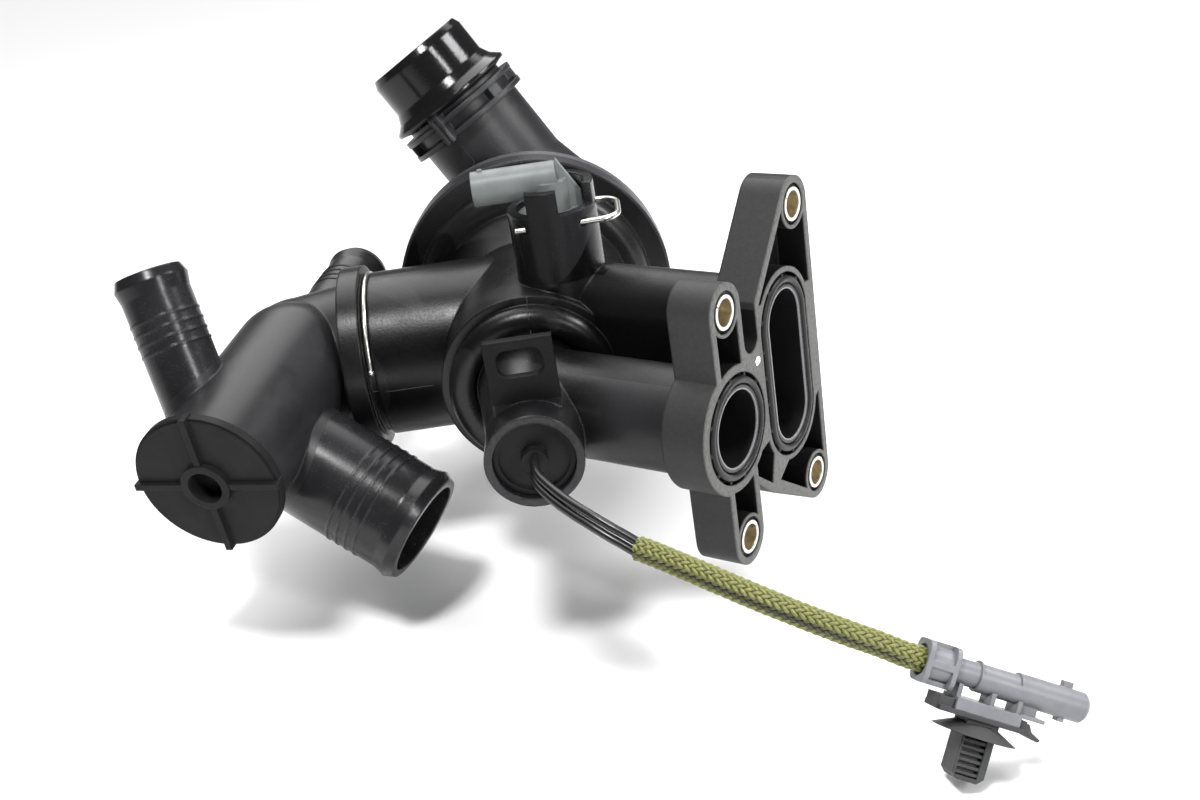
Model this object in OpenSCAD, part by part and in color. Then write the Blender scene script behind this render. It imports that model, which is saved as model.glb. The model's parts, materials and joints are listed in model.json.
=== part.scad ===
// Engine coolant housing: four-bolt flange with two ports, heated wax valve on a slanted axis, cover with a hose
// neck, plug-in distributor with three hose nipples, temperature sensor and heater lead.
// Millimetres. Origin: middle of the round port on the flange face. +X points out of the flange, +Z is up.

/* [Engine flange] */
// Thickness of the flange
flange_t = 12; // [11:0.5:16]
// Radius of the ears round the bolt holes
ear_r = 7.4; // [7:0.1:8.4]
// Height of the front bolts above and below the round port
front_bolt_z = 31.5; // [30:0.5:36]
// Distance of the rear bolts from the round port's axis
rear_bolt_y = 39.2; // [38.6:0.2:42]
// Height of the upper rear bolt
rear_bolt_top = 45.2; // [43:0.2:50]
// Depth of the lower rear bolt below the round port's axis
rear_bolt_drop = 33.2; // [32:0.2:38]
// Outer diameter of a bolt bushing
bushing_od = 8.8; // [8.2:0.1:9.4]
// Bore of a bolt bushing
bushing_bore = 7; // [6:0.1:7.4]
// Depth of the moulding pockets in the flange face
pocket_depth = 8.5; // [4:0.5:9.5]
// Wall left beside the moulding pockets
pocket_rim = 2.2; // [1.6:0.1:3]

/* [Ports and face seals] */
// Bore of the round port
port_bore = 20; // [17:0.5:21]
// Width of the slot port
slot_w = 16.6; // [13:0.2:17.4]
// Height of the slot port
slot_h = 42; // [38:0.5:44]
// Distance of the slot port from the round port's axis
slot_y = 28.8; // [28.4:0.1:29.2]
// Height of the slot port's middle
slot_z = 4.5; // [3.5:0.1:5.5]
// Lip between a port and its seal
port_lip = 1.2; // [0.8:0.1:1.4]
// Width of a face seal
seal_w = 3.2; // [2.4:0.1:3.4]
// Depth of the seal grooves
seal_depth = 3; // [2:0.1:4]

/* [Chamber] */
// Length of the lower tube from the flange face to the chamber axis
tube_reach = 62.7; // [61:0.1:64]
// Distance along the chamber axis from the lower tube to the branch
tube_to_branch = 46.8; // [46:0.1:48]
// Turn of the chamber axis round Z
body_turn = 35; // [33:0.5:37]
// Outer diameter of the chamber
chamber_od = 52; // [50:0.5:54]
// Wall of the chamber
chamber_wall = 3.2; // [2.6:0.1:3.6]
// Outer diameter of the two joined rims
rim_od = 87; // [84:0.5:92]
// Thickness of each joined rim
rim_t = 6; // [5:0.2:7]
// Distance of the joint plane behind the branch axis
joint_v = 39; // [38:0.5:42]

/* [Heater boss] */
// Distance of the boss rim in front of the branch axis
boss_reach = 85; // [84:0.5:86]
// Outer diameter of the boss
boss_od = 25.4; // [25:0.1:27]
// Bore of the boss
boss_bore = 20.2; // [19:0.1:20.8]
// Width of the window plate
plate_w = 17.5; // [16.5:0.1:20]
// Height of the window plate above the boss axis
plate_top = 29.5; // [29:0.1:33]
// Width of the window
window_w = 11.6; // [10:0.1:12.4]
// Height of the window
window_h = 7.4; // [6:0.1:8]

/* [Branch and distributor] */
// Outer diameter of the branch
branch_od = 49; // [48:0.2:50]
// Bore of the socket at the end of the branch
socket_bore = 43.6; // [42.6:0.2:44]
// Reach of the branch from the chamber axis
branch_reach = 54.5; // [53.5:0.1:56]
// Distance of the distributor's corner from the chamber axis
elbow_reach = 74.1; // [72.5:0.1:75]
// Length of the distributor's tube from its round end's middle to the cap's face
elbow_len = 59.4; // [58:0.1:61]
// Outer diameter of the distributor's tube
elbow_od = 36.4; // [35.6:0.2:37]
// Diameter of the cap
cap_od = 40.8; // [40:0.2:43]
// Outer diameter of the wide nipple
wide_nipple_od = 32; // [31:0.2:33]
// Length of the wide nipple from the tube's axis
wide_nipple_len = 58.2; // [55:0.2:62]
// Outer diameter of the narrow nipples
small_nipple_od = 19.2; // [18:0.2:20]
// Length of the upper nipple from the tube's axis
upper_nipple_len = 56.2; // [50:0.2:58]
// Length of the rear nipple from the corner
rear_nipple_len = 59; // [54:0.2:60]

/* [Sensor] */
// Outer diameter of the sensor socket
sensor_od = 24.6; // [24:0.1:26]
// Height of the sensor socket's rim above the chamber axis
sensor_rim = 46; // [45:0.1:48]
// Diameter of the sensor's plug
plug_face_od = 9.6; // [9:0.1:10]

/* [Cover] */
// Outer diameter of the neck
neck_od = 36.6; // [36:0.2:38]
// Bore of the neck
neck_bore = 29.2; // [26:0.2:30]
// Length of the neck from its root
neck_len = 86.5; // [84:0.1:88]
// Diameter of the locking collar
collar_od = 42.6; // [41.6:0.2:44]

/* [Valve] */
// Stroke of the valve
stroke = 8; // [5:0.5:9]
// Diameter of the main valve disc
valve_od = 43; // [40:0.5:44]
// Diameter of the wax capsule
capsule_od = 14; // [12:0.5:15]
// Diameter of the capsule's stem
stem_od = 8; // [7:0.2:9]
// Diameter of the heated pin
pin_od = 4.4; // [3.6:0.1:4.8]

/* [Lead] */
// Diameter of a wire
wire_od = 2.2; // [1.6:0.1:2.3]
// Diameter of the braided sleeve
sleeve_od = 6.1; // [5.6:0.1:6.4]
// Diameter of the connector's barrel
barrel_od = 7.1; // [6.8:0.1:7.6]
// Length of the connector
connector_len = 40; // [38:0.5:44]
// Diameter of the mounting clip's disc
clip_disc_od = 19; // [17:0.2:20]

/* [Hidden] */
$fn = 64;
eps = 0.01;
fit = 0.05;

black = [0.05, 0.05, 0.055];
grey = [0.45, 0.46, 0.43];
pale = [0.62, 0.65, 0.67];
steel = [0.72, 0.72, 0.7];
brass = [0.75, 0.6, 0.3];

// flange
port_groove_r = port_bore / 2 + port_lip + seal_w;
slot_groove_r = slot_w / 2 + port_lip + seal_w;
port_boss_r = port_groove_r + 2.8;
slot_run = slot_h - slot_w;
rear_right = rear_bolt_y + ear_r;
rear_left = slot_y - slot_groove_r - 1.5;
gap_w = rear_left - ear_r;
web_z = port_boss_r - 1.2;
shoulder = [rear_left, slot_z + slot_run / 2 + slot_groove_r - 2.1];
heel = [rear_left, slot_z - slot_run / 2 - slot_groove_r - 5.6];
bolts = [[0, front_bolt_z], [0, -front_bolt_z], [rear_bolt_y, rear_bolt_top], [rear_bolt_y, -rear_bolt_drop]];
tube_r = port_bore / 2 + 4;
duct_r = slot_w / 2 + 2.4;

// chamber, positions along its axis counted from the branch axis, boss side negative
chamber_r = chamber_od / 2;
cavity_r = chamber_r - chamber_wall;
tube_v = -tube_to_branch;
bypass_v = tube_v + 6.8;
chamber_v = bypass_v - 4;
front_v = tube_v - port_bore / 2 - 5;
front_r = 12;
bead_r = 4.2;
shoulder_r = 5;
bypass_r = 9;
seat_v = joint_v - 4;
seat_r = valve_od / 2 - 3;
shell_r = rim_od / 2 - 6.5;
rim_v = -boss_reach;
plug_v = rim_v + 2;
plug_seat_v = plug_v + 2;
plug_nose_v = plug_seat_v + 15;
boss_r = boss_od / 2;
bore_r = boss_bore / 2;
plate_v = rim_v + 9;
window_z = plate_top - 2.6 - window_h / 2;
window_round = window_h * 0.36;

// branch and distributor
branch_r = branch_od / 2;
socket_r = socket_bore / 2;
clip_u = branch_reach - 7.5;
clip_wire = 1.6;
clip_floor_r = branch_r - 1.2;
elbow_tilt = 96.9;
elbow_aim = 254.5;
wide_tilt = 120.7;
wide_aim = -24.7;
upper_tilt = 24.5;
upper_aim = 121;
elbow_r = elbow_od / 2;
cap_t = 3;
wide_foot = elbow_len - 28;
upper_foot = elbow_len - 8.3;
corner_r = elbow_r + 2.2;
corner_u = elbow_reach - 3.6;
tube_shift = [2.85, -11, 5.25];
wide_r = wide_nipple_od / 2;
small_r = small_nipple_od / 2;

// sensor, in its own frame with Z on the socket's axis
sensor_pos = [11.6, -23];
sensor_r = sensor_od / 2;
sensor_bore_r = sensor_r - 2.6;
sensor_floor = sensor_rim - 17;
sensor_clip_z = sensor_rim - 3.6;
sensor_head_z = sensor_rim + 7;
sensor_wire = 1.6;
sensor_leg = sensor_bore_r - 0.9;

// cover
neck_root = [15, 61, 0];
neck_tilt = 31;
neck_aim = 167.8;
neck_r = neck_od / 2;
collar_r = collar_od / 2;
dome_r = shell_r - 1;
dome_v = joint_v + 21;
dome_wall = 3;
dome_round = 15;
collar_z = neck_len - 28.7;
key_turn = 88;

// valve
valve_v = seat_v + 1.5;
valve_t = 1.2;
spring_wire = 2.4;
spring_r = 12;
coil_steps = 73;
bridge_v = joint_v + 21;
bridge_t = 1.5;
bridge_out = dome_r - dome_wall - 0.3;
bridge_w = 6.3;
bridge_in = bridge_out - bridge_w;
bridge_leg_r = bridge_out - bridge_w / 2;
bridge_leg_t = 2;
disc_v = bypass_v - stroke - 1.6;
disc_t = 1.2;
disc_r = front_r - 1.2;
sleeve_r = pin_od / 2 + 1.7;
capsule_end = -4;
pin_end = capsule_end - 16;
stem_end = bridge_v + bridge_t + 0.4;

// lead
lead_pos = [58.6, -30.6, -33.2];
lead_pitch = 27.2;
lead_yaw = 31.9;
lead_roll = -28.4;
lead_dir = [cos(lead_pitch) * cos(lead_yaw), cos(lead_pitch) * sin(lead_yaw), -sin(lead_pitch)];
view_up = [-0.128, 0.431, 0.893];
barrel_r = barrel_od / 2;
collar_half = barrel_r + 1.3;
rail_z = -8.1;
foot_x = 16.6;
disc_drop = rail_z - 4.5;
wire_route = [[-40.7, -31.5, 0], [-38.4, -34.8, -0.2], [-35.2, -37.6, -1], [-31, -39.6, -2], [-26.5, -41.2, -3],
  [-21.5, -42.6, -4], [-16.5, -43.5, -5.2], [-11.5, -43.8, -7], [-7.8, -43.6, -8.6], [-4.4, -43.4, -10.2]];
sleeve_route = [[-4.4, -43.4, -10.2], [0.2, -43.5, -10.9], [6.8, -43.6, -12.2], [14.3, -43.4, -14],
  [22.6, -42.7, -16.5], [30.5, -41.5, -19.2], [38, -39.7, -22.2], [45.1, -37.3, -25.5], [50.9, -34.7, -28.5],
  lead_pos - 4.2 * lead_dir, lead_pos, lead_pos + 2.4 * lead_dir];

// Place from P where a line meets a circle of radius R round C; SIDE 1 turns left, -1 turns right
function tangent(p, c, r, side) = let (d = c - p, l = norm(d), a = atan2(d[1], d[0]) + side * asin(r / l))
  p + sqrt(l * l - r * r) * [cos(a), sin(a)];
function unit(a) = a / norm(a);
// Line through A and B moved sideways by W to its right
function right_of(a, b, w) = let (d = unit(b - a)) w * [d[1], -d[0]];
function aim(tilt, turn) = [sin(tilt) * cos(turn), sin(tilt) * sin(turn), cos(tilt)];
// Direction of a route at point I
function heading(p, i) = unit(p[min(i + 1, len(p) - 1)] - p[max(i - 1, 0)]);
function lift(p, i) = let (t = heading(p, i)) unit(view_up - (view_up * t) * t);
// A route moved sideways by W
function beside(p, w) = [for (i = [0:len(p) - 1]) p[i] + w * lift(p, i)];
function tube_points(p, r, n) = [for (i = [0:len(p) - 1], j = [0:n - 1])
  let (t = heading(p, i), k = lift(p, i), b = cross(t, k)) p[i] + r * (cos(360 * j / n) * k + sin(360 * j / n) * b)];
function tube_faces(m, n) = concat([[for (j = [0:n - 1]) j]],
  [for (i = [0:m - 2], j = [0:n - 1])
    [i * n + j, (i + 1) * n + j, (i + 1) * n + (j + 1) % n, i * n + (j + 1) % n]],
  [[for (j = [n - 1:-1:0]) (m - 1) * n + j]]);
// Coil round Z from Z0 to Z1
function coil_points(r, w, z0, z1, turns, m, n) = [for (i = [0:m - 1], j = [0:n - 1])
  let (a = 360 * turns * i / (m - 1), z = z0 + (z1 - z0) * i / (m - 1), q = r + w * cos(360 * j / n))
  [q * cos(a), q * sin(a), z + w * sin(360 * j / n)]];

// Frame of the chamber: X along the branch's back, Y along the chamber axis, Z up
module body_frame() {
  translate([-tube_reach, 0, 0])
    rotate([0, 0, body_turn])
      translate([0, tube_to_branch, 0])
        children();
}

// Turns Z onto the chamber axis
module along_axis() {
  rotate([-90, 0, 0])
    children();
}

// Turns Z out along the branch
module along_branch() {
  rotate([0, -90, 0])
    children();
}

// Round step on the chamber axis from V0 to V1
module step(v0, v1, r0, r1) {
  along_axis()
    translate([0, 0, v0])
      cylinder(h = v1 - v0, r1 = r0, r2 = r1);
}

module on_face(depth, back) {
  rotate([90, 0, 90])
    translate([0, 0, -back])
      linear_extrude(depth)
        children();
}

// Frame at the distributor's corner
module corner_frame() {
  translate([-elbow_reach, 0, 0])
    rotate([0, elbow_tilt, elbow_aim])
      children();
}

// Frame of the distributor's tube, which passes before the corner
module elbow_frame() {
  translate([-elbow_reach, 0, 0] + tube_shift)
    rotate([0, elbow_tilt, elbow_aim])
      children();
}

module nipple_frame(foot, tilt, turn) {
  translate([-elbow_reach, 0, 0] + foot * aim(elbow_tilt, elbow_aim))
    rotate([0, tilt, turn])
      children();
}

module sensor_frame() {
  translate([sensor_pos[0], sensor_pos[1], 0])
    children();
}

module neck_frame() {
  translate(neck_root)
    rotate([0, neck_tilt, neck_aim])
      children();
}

module lead_frame() {
  translate(lead_pos)
    rotate([lead_roll, lead_pitch, lead_yaw])
      children();
}

module ring(r, s) {
  rotate_extrude()
    translate([r, 0])
      circle(s);
}

// Outline of the slot port grown to an end radius R
module slot_shape(r) {
  for (s = [-1, 1])
    translate([slot_y, slot_z + s * slot_run / 2])
      circle(r);
  translate([slot_y - r, slot_z - slot_run / 2])
    square([2 * r, slot_run]);
}

module flange_shape() {
  for (p = bolts)
    translate(p)
      circle(ear_r);
  translate([-ear_r, -front_bolt_z])
    square([2 * ear_r, 2 * front_bolt_z]);
  circle(port_boss_r);
  polygon([[0, web_z], [rear_left, web_z], shoulder, tangent(shoulder, bolts[2], ear_r, 1), bolts[2],
    [rear_right, rear_bolt_top], [rear_right, -rear_bolt_drop], bolts[3], tangent(heel, bolts[3], ear_r, -1), heel,
    [ear_r, heel[1] + 6.5], [0, heel[1] + 6.5]]);
  difference() {
    translate([ear_r - 1, web_z - 2])
      square([gap_w + 2, gap_w / 2 + 2]);
    translate([ear_r + gap_w / 2, web_z + gap_w / 2])
      circle(gap_w / 2);
  }
}

module pocket_shapes() {
  for (s = [-1, 1])
    difference() {
      translate([pocket_rim - ear_r, s > 0 ? 0 : -front_bolt_z])
        square([2 * (ear_r - pocket_rim), front_bolt_z]);
      translate([0, s * front_bolt_z])
        circle(bushing_od / 2 + 1.9);
      circle(port_groove_r + pocket_rim);
    }
  up = tangent(shoulder, bolts[2], ear_r, 1);
  in_up = right_of(shoulder, up, pocket_rim);
  difference() {
    polygon([shoulder + in_up, up + in_up, [rear_right - pocket_rim, rear_bolt_top],
      [rear_right - pocket_rim, slot_z + slot_run / 2 + 5]]);
    translate(bolts[2])
      circle(bushing_od / 2 + 2);
    slot_shape(slot_groove_r + 1.4);
  }
  down = tangent(heel, bolts[3], ear_r, -1);
  in_down = right_of(down, heel, pocket_rim);
  difference() {
    polygon([[rear_right - pocket_rim, slot_z - slot_run / 2 - 2], [rear_right - pocket_rim, -rear_bolt_drop],
      down + in_down, heel + in_down + [3, 0]]);
    translate(bolts[3])
      circle(bushing_od / 2 + 2);
    slot_shape(slot_groove_r + 1.4);
  }
  difference() {
    polygon([[ear_r, -port_groove_r + 2], [rear_left + 4, slot_z - slot_run / 2 - 2], [rear_left, heel[1] + 3],
      [ear_r, heel[1] + 9]]);
    circle(port_groove_r + 1.6);
    slot_shape(slot_groove_r + 1.4);
  }
}

module housing_solid() {
  on_face(flange_t, flange_t)
    flange_shape();
  // tubes behind the flange
  translate([-tube_reach, 0, 0])
    rotate([0, 90, 0])
      cylinder(h = tube_reach - flange_t / 2, r = tube_r);
  on_face(70, 76)
    slot_shape(duct_r);
  // flat rib between the two tubes
  on_face(34, 42)
    translate([0, -3])
      square([slot_y, 3]);
  body_frame() {
    // boss and its root
    step(rim_v, chamber_v, boss_r, boss_r);
    step(rim_v + 15, chamber_v + 5, boss_r, boss_r + 3.4);
    // chamber with a bead round the boss and a round shoulder in front of the rim
    along_axis()
      rotate_extrude()
        union() {
          translate([0, chamber_v + 4.4])
            square([chamber_r - bead_r - 2.2, 20]);
          translate([0, chamber_v + 6])
            square([chamber_r, joint_v - chamber_v - 10]);
          translate([chamber_r - bead_r - 2.2, chamber_v + bead_r])
            circle(bead_r);
          translate([0, joint_v - 15])
            square([shell_r - shoulder_r, 14]);
          translate([shell_r - shoulder_r, joint_v - rim_t - shoulder_r + 1])
            circle(shoulder_r);
          translate([0, joint_v - rim_t - shoulder_r + 1])
            square([shell_r, shoulder_r]);
        }
    step(joint_v - 31, joint_v - 13, chamber_r, shell_r - 6.4);
    step(joint_v - rim_t, joint_v, rim_od / 2, rim_od / 2);
    // branch with the wire clip's groove between two ribs
    along_branch() {
      cylinder(h = branch_reach, r = branch_r);
      translate([0, 0, branch_reach - 6])
        cylinder(h = 6, r = branch_r + 2.5);
    }
    // plate with the window for the lead's clip
    translate([-plate_w / 2, plate_v, 6])
      cube([plate_w, 2.4, plate_top - 6]);
    // sensor socket with its two raised guards
    sensor_frame() {
      translate([0, 0, 4])
        cylinder(h = sensor_rim - 4, r = sensor_r);
      intersection() {
        translate([0, 0, sensor_rim - 5])
          cylinder(h = 11.5, r = sensor_r);
        translate([-6.4, -20, 0])
          cube([8.4, 20, 80]);
      }
      intersection() {
        translate([0, 0, sensor_rim - 5])
          cylinder(h = 10.7, r = sensor_r);
        rotate([0, 0, -22])
          cube([20, 20, 80]);
      }
    }
  }
}

module housing_hollow() {
  on_face(tube_reach, tube_reach - 1)
    circle(port_bore / 2);
  on_face(62, 61)
    slot_shape(slot_w / 2);
  // seal grooves
  on_face(seal_depth + 1, seal_depth)
    difference() {
      circle(port_groove_r);
      circle(port_bore / 2 + port_lip);
    }
  on_face(seal_depth + 1, seal_depth)
    difference() {
      slot_shape(slot_groove_r);
      slot_shape(slot_w / 2 + port_lip);
    }
  on_face(pocket_depth + 1, pocket_depth)
    pocket_shapes();
  for (p = bolts) {
    on_face(flange_t + 2, flange_t + 1)
      translate(p)
        circle(bushing_od / 2);
    on_face(2.2, 1.2)
      translate(p)
        circle(bushing_od / 2 + 1);
  }
  body_frame() {
    step(rim_v - 1, plug_seat_v, bore_r + 0.5, bore_r + 0.5);
    step(plug_seat_v - 1, front_v + 1, bore_r, bore_r);
    step(front_v, bypass_v, front_r, front_r);
    step(bypass_v - 1, bypass_v + 5, bypass_r, bypass_r);
    step(bypass_v + 4, seat_v - 7, cavity_r, cavity_r);
    step(seat_v - 8, seat_v + 1, seat_r, seat_r);
    step(seat_v, joint_v + 1, valve_od / 2 + 4.5, valve_od / 2 + 4.5);
    along_branch() {
      cylinder(h = branch_reach, r = socket_r - 1.3);
      translate([0, 0, branch_reach - 14.5])
        cylinder(h = 20, r = socket_r);
      // groove of the wire clip
      translate([0, 0, clip_u - 1.1])
        difference() {
          cylinder(h = 2.2, r = branch_r + 4);
          cylinder(h = 2.2, r = clip_floor_r);
        }
    }
    // window
    translate([0, plate_v, window_z])
      rotate([-90, 0, 0])
        translate([0, 0, -1])
          linear_extrude(5) {
            square([window_w, window_h - 2 * window_round], center = true);
            square([window_w - 2 * window_round, window_h], center = true);
            for (a = [-1, 1], b = [-1, 1])
              translate([a * (window_w / 2 - window_round), b * (window_h / 2 - window_round)])
                circle(window_round);
          }
    sensor_frame() {
      translate([0, 0, sensor_floor])
        cylinder(h = 40, r = sensor_bore_r);
      translate([0, 0, 10])
        cylinder(h = sensor_floor - 9, r = 4.6);
      // slots of the sensor's wire clip
      for (s = [-1, 1])
        translate([-14, s * sensor_leg - 1, sensor_clip_z - 1])
          cube([28, 2, 2]);
    }
  }
}

module housing() {
  color(black)
    difference() {
      housing_solid();
      housing_hollow();
    }
}

module outlet_cover() {
  color(black)
    body_frame()
      difference() {
        union() {
          step(joint_v, joint_v + rim_t, rim_od / 2 - 0.6, rim_od / 2 - 0.6);
          along_axis()
            rotate_extrude()
              union() {
                translate([0, joint_v + rim_t / 2])
                  square([dome_r, dome_v - joint_v - rim_t / 2]);
                translate([0, joint_v + rim_t])
                  square([dome_r - dome_round, dome_v - joint_v - rim_t + dome_round]);
                translate([dome_r - dome_round, dome_v])
                  circle(dome_round);
              }
          neck_frame() {
            sphere(neck_r);
            cylinder(h = collar_z + 2, r = neck_r);
            translate([0, 0, 8])
              cylinder(h = 28, r1 = neck_r + 6, r2 = neck_r - 0.2);
            // collar of two discs with posts between them
            translate([0, 0, collar_z])
              cylinder(h = 1.7, r = collar_r);
            translate([0, 0, collar_z + 5.3])
              cylinder(h = 1.7, r = collar_r);
            for (a = [60:60:300])
              rotate([0, 0, a + key_turn])
                translate([neck_r - 2, -2.2, collar_z + 0.6])
                  cube([collar_r - neck_r + 1.6, 4.4, 5.8]);
            // key rib, groove, flare and spigot
            rotate([0, 0, key_turn])
              difference() {
                translate([neck_r - 2, -1.7, collar_z - 0.6])
                  cube([collar_r - neck_r + 3.3, 3.4, 10]);
                translate([collar_r + 0.5, -0.6, collar_z - 2])
                  cube([4, 1.2, 10]);
              }
            rotate_extrude()
              polygon([[0, collar_z], [neck_r - 0.3, collar_z], [neck_r - 0.3, collar_z + 8.6],
                [collar_r + 0.4, collar_z + 9.6], [collar_r + 0.4, collar_z + 10.6],
                [neck_r + 0.6, collar_z + 13], [neck_r - 0.9, collar_z + 16], [neck_r - 0.9, neck_len - 2.4],
                [neck_r - 2, neck_len], [0, neck_len]]);
          }
        }
        step(joint_v - 20, joint_v, rim_od / 2, rim_od / 2);
        along_axis()
          rotate_extrude()
            union() {
              translate([0, joint_v - 1])
                square([dome_r - dome_wall, dome_v - joint_v + 1]);
              translate([0, joint_v - 1])
                square([dome_r - dome_round, dome_v - joint_v + dome_round - dome_wall + 1]);
              translate([dome_r - dome_round, dome_v])
                circle(dome_round - dome_wall);
            }
        neck_frame() {
          sphere(neck_bore / 2);
          cylinder(h = neck_len + 1, r = neck_bore / 2);
        }
      }
}

// Hose nipple of radius R and length L with a rounded bead and four grip rings near its mouth
module nipple(r, l, bead) {
  cylinder(h = l - 3, r = r);
  translate([0, 0, l - 6.4])
    cylinder(h = 3.6, r1 = r, r2 = r + bead);
  translate([0, 0, l - 2.8])
    cylinder(h = 2.8, r1 = r + bead, r2 = r - 0.4);
  for (k = [0:3])
    translate([0, 0, l - 13.2 - 2.9 * k])
      cylinder(h = 0.6, r = r + 0.24);
}

module distributor() {
  color(black)
    body_frame()
      difference() {
        union() {
          along_branch() {
            translate([0, 0, branch_reach - 13.5])
              cylinder(h = 14, r = socket_r - 0.15);
            translate([0, 0, branch_reach])
              cylinder(h = corner_u - branch_reach, r1 = socket_r + 0.6, r2 = corner_r);
          }
          translate([-corner_u, 0, 0])
            sphere(corner_r);
          elbow_frame() {
            sphere(elbow_r);
            cylinder(h = elbow_len - cap_t, r = elbow_r);
          }
          // rear nipple points the other way
          corner_frame()
            rotate([180, 0, 0])
              nipple(small_r, rear_nipple_len, 0.7);
          nipple_frame(wide_foot, wide_tilt, wide_aim) {
            sphere(wide_r);
            nipple(wide_r, wide_nipple_len, 0.9);
          }
          nipple_frame(upper_foot, upper_tilt, upper_aim)
            nipple(small_r, upper_nipple_len, 0.7);
        }
        along_branch() {
          translate([0, 0, branch_reach - 20])
            cylinder(h = 22, r = socket_r - 2.6);
          translate([0, 0, branch_reach + 1])
            cylinder(h = corner_u - branch_reach - 1, r1 = socket_r - 2.6, r2 = corner_r - 2.4);
          // room for the branch's lip
          translate([0, 0, branch_reach - 14])
            difference() {
              cylinder(h = 14, r = branch_r + 2.4);
              cylinder(h = 14, r = socket_r - 0.15);
            }
          // groove of the round seal
          translate([0, 0, branch_reach - 11.2])
            difference() {
              cylinder(h = 2.2, r = socket_r + 1);
              cylinder(h = 2.2, r = socket_r - 1.95);
            }
        }
        translate([-corner_u, 0, 0])
          sphere(corner_r - 2.4);
        elbow_frame() {
          sphere(elbow_r - 3);
          cylinder(h = elbow_len, r = elbow_r - 3);
        }
        corner_frame()
          rotate([180, 0, 0])
            cylinder(h = rear_nipple_len + 1, r = small_r - 2.2);
        nipple_frame(wide_foot, wide_tilt, wide_aim)
          cylinder(h = wide_nipple_len + 1, r = wide_r - 2.5);
        nipple_frame(upper_foot, upper_tilt, upper_aim)
          cylinder(h = upper_nipple_len + 1, r = small_r - 2.2);
      }
}

module distributor_cap() {
  color(black)
    body_frame()
      elbow_frame()
        translate([0, 0, elbow_len - cap_t])
          difference() {
            union() {
              cylinder(h = cap_t - 0.6, r = cap_od / 2);
              cylinder(h = cap_t, r = cap_od / 2 - 0.7);
              translate([0, 0, -3])
                cylinder(h = 4, r = elbow_r - 3.1);
              cylinder(h = cap_t + 1.6, r = 6.8);
              for (a = [0, 90])
                rotate([0, 0, a])
                  translate([-cap_od / 2 - 0.5, -0.9, 0.4])
                    cube([cap_od + 1, 1.8, cap_t + 0.9]);
            }
            translate([0, 0, -0.6])
              cylinder(h = cap_t + 4, r = 4.7);
          }
}

module distributor_clip() {
  color(steel)
    body_frame()
      along_branch()
        translate([0, 0, clip_u]) {
          rotate([0, 0, 280])
            rotate_extrude(angle = 245)
              translate([clip_floor_r + clip_wire / 2 + fit, 0])
                circle(clip_wire / 2);
          for (a = [280, 525])
            rotate([0, 0, a])
              translate([clip_floor_r + clip_wire / 2 + 0.4, 0, 0])
                sphere(clip_wire / 2 + 0.22);
        }
}

module distributor_o_ring() {
  color([0.06, 0.06, 0.06])
    body_frame()
      along_branch()
        translate([0, 0, branch_reach - 10.1])
          ring(socket_r - 0.99, 0.92);
}

module sensor_body() {
  color(grey)
    body_frame()
      sensor_frame()
        difference() {
          union() {
            translate([0, 0, sensor_floor])
              cylinder(h = sensor_rim - 1.5 - sensor_floor, r = sensor_bore_r - 0.12);
            translate([0, 0, sensor_rim - 3])
              cylinder(h = 10, r = plug_face_od / 2 + 0.6);
            translate([2.6, 0, sensor_head_z])
              rotate([0, -90, 0])
                cylinder(h = 23, r = plug_face_od / 2);
            // web behind the plug
            rotate([90, 0, 0])
              translate([0, 0, -1.2])
                linear_extrude(2.4)
                  polygon([[0, sensor_rim - 2], [sensor_bore_r - 1, sensor_rim - 2], [sensor_bore_r - 1, sensor_rim + 2.5],
                    [3, sensor_head_z + plug_face_od / 2 + 0.6], [0, sensor_head_z]]);
            // small key on top of the plug's end
            translate([-18.4, -0.6, sensor_head_z])
              cube([1.3, 1.2, plug_face_od / 2 + 0.5]);
          }
          // socket of the plug
          translate([-12.4, 0, sensor_head_z])
            rotate([0, -90, 0])
              cylinder(h = 20, r = plug_face_od / 2 - 1);
          translate([0, 0, sensor_clip_z - 1])
            difference() {
              cylinder(h = 2, r = sensor_r);
              cylinder(h = 2, r = sensor_leg - 0.95);
            }
          translate([0, 0, sensor_floor + 4])
            difference() {
              cylinder(h = 2.2, r = sensor_r);
              cylinder(h = 2.2, r = sensor_bore_r - 2);
            }
          translate([0, 0, sensor_floor - 1])
            cylinder(h = 9, r = 4.05);
        }
}

module sensor_pins() {
  color(steel)
    body_frame()
      sensor_frame()
        for (s = [-1, 1])
          translate([-12.4, s * 1.5, sensor_head_z])
            rotate([0, -90, 0])
              cylinder(h = 6.5, r = 0.5);
}

module sensor_probe() {
  color(brass)
    body_frame()
      sensor_frame() {
        translate([0, 0, cavity_r - 10])
          cylinder(h = sensor_floor + 8 - cavity_r + 10, r = 4);
        translate([0, 0, cavity_r - 10])
          sphere(4);
      }
}

module sensor_o_ring() {
  color([0.06, 0.06, 0.06])
    body_frame()
      sensor_frame()
        translate([0, 0, sensor_floor + 5.1])
          ring(sensor_bore_r - 1.01, 0.94);
}

module sensor_clip() {
  reach = sensor_bore_r + 3.2;
  color(steel)
    body_frame()
      sensor_frame()
        translate([0, 0, sensor_clip_z]) {
          for (s = [-1, 1]) {
            translate([-sensor_bore_r - 0.6, s * sensor_leg, 0])
              rotate([0, 90, 0])
                cylinder(h = reach + sensor_bore_r + 0.6, r = sensor_wire / 2);
            translate([reach, s * (sensor_leg - 5), 0])
              rotate([0, 0, s > 0 ? 0 : -90])
                rotate_extrude(angle = 90)
                  translate([5, 0])
                    circle(sensor_wire / 2);
          }
          translate([reach + 5, -(sensor_leg - 5), 0])
            rotate([-90, 0, 0])
              cylinder(h = 2 * (sensor_leg - 5), r = sensor_wire / 2);
        }
}

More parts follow.
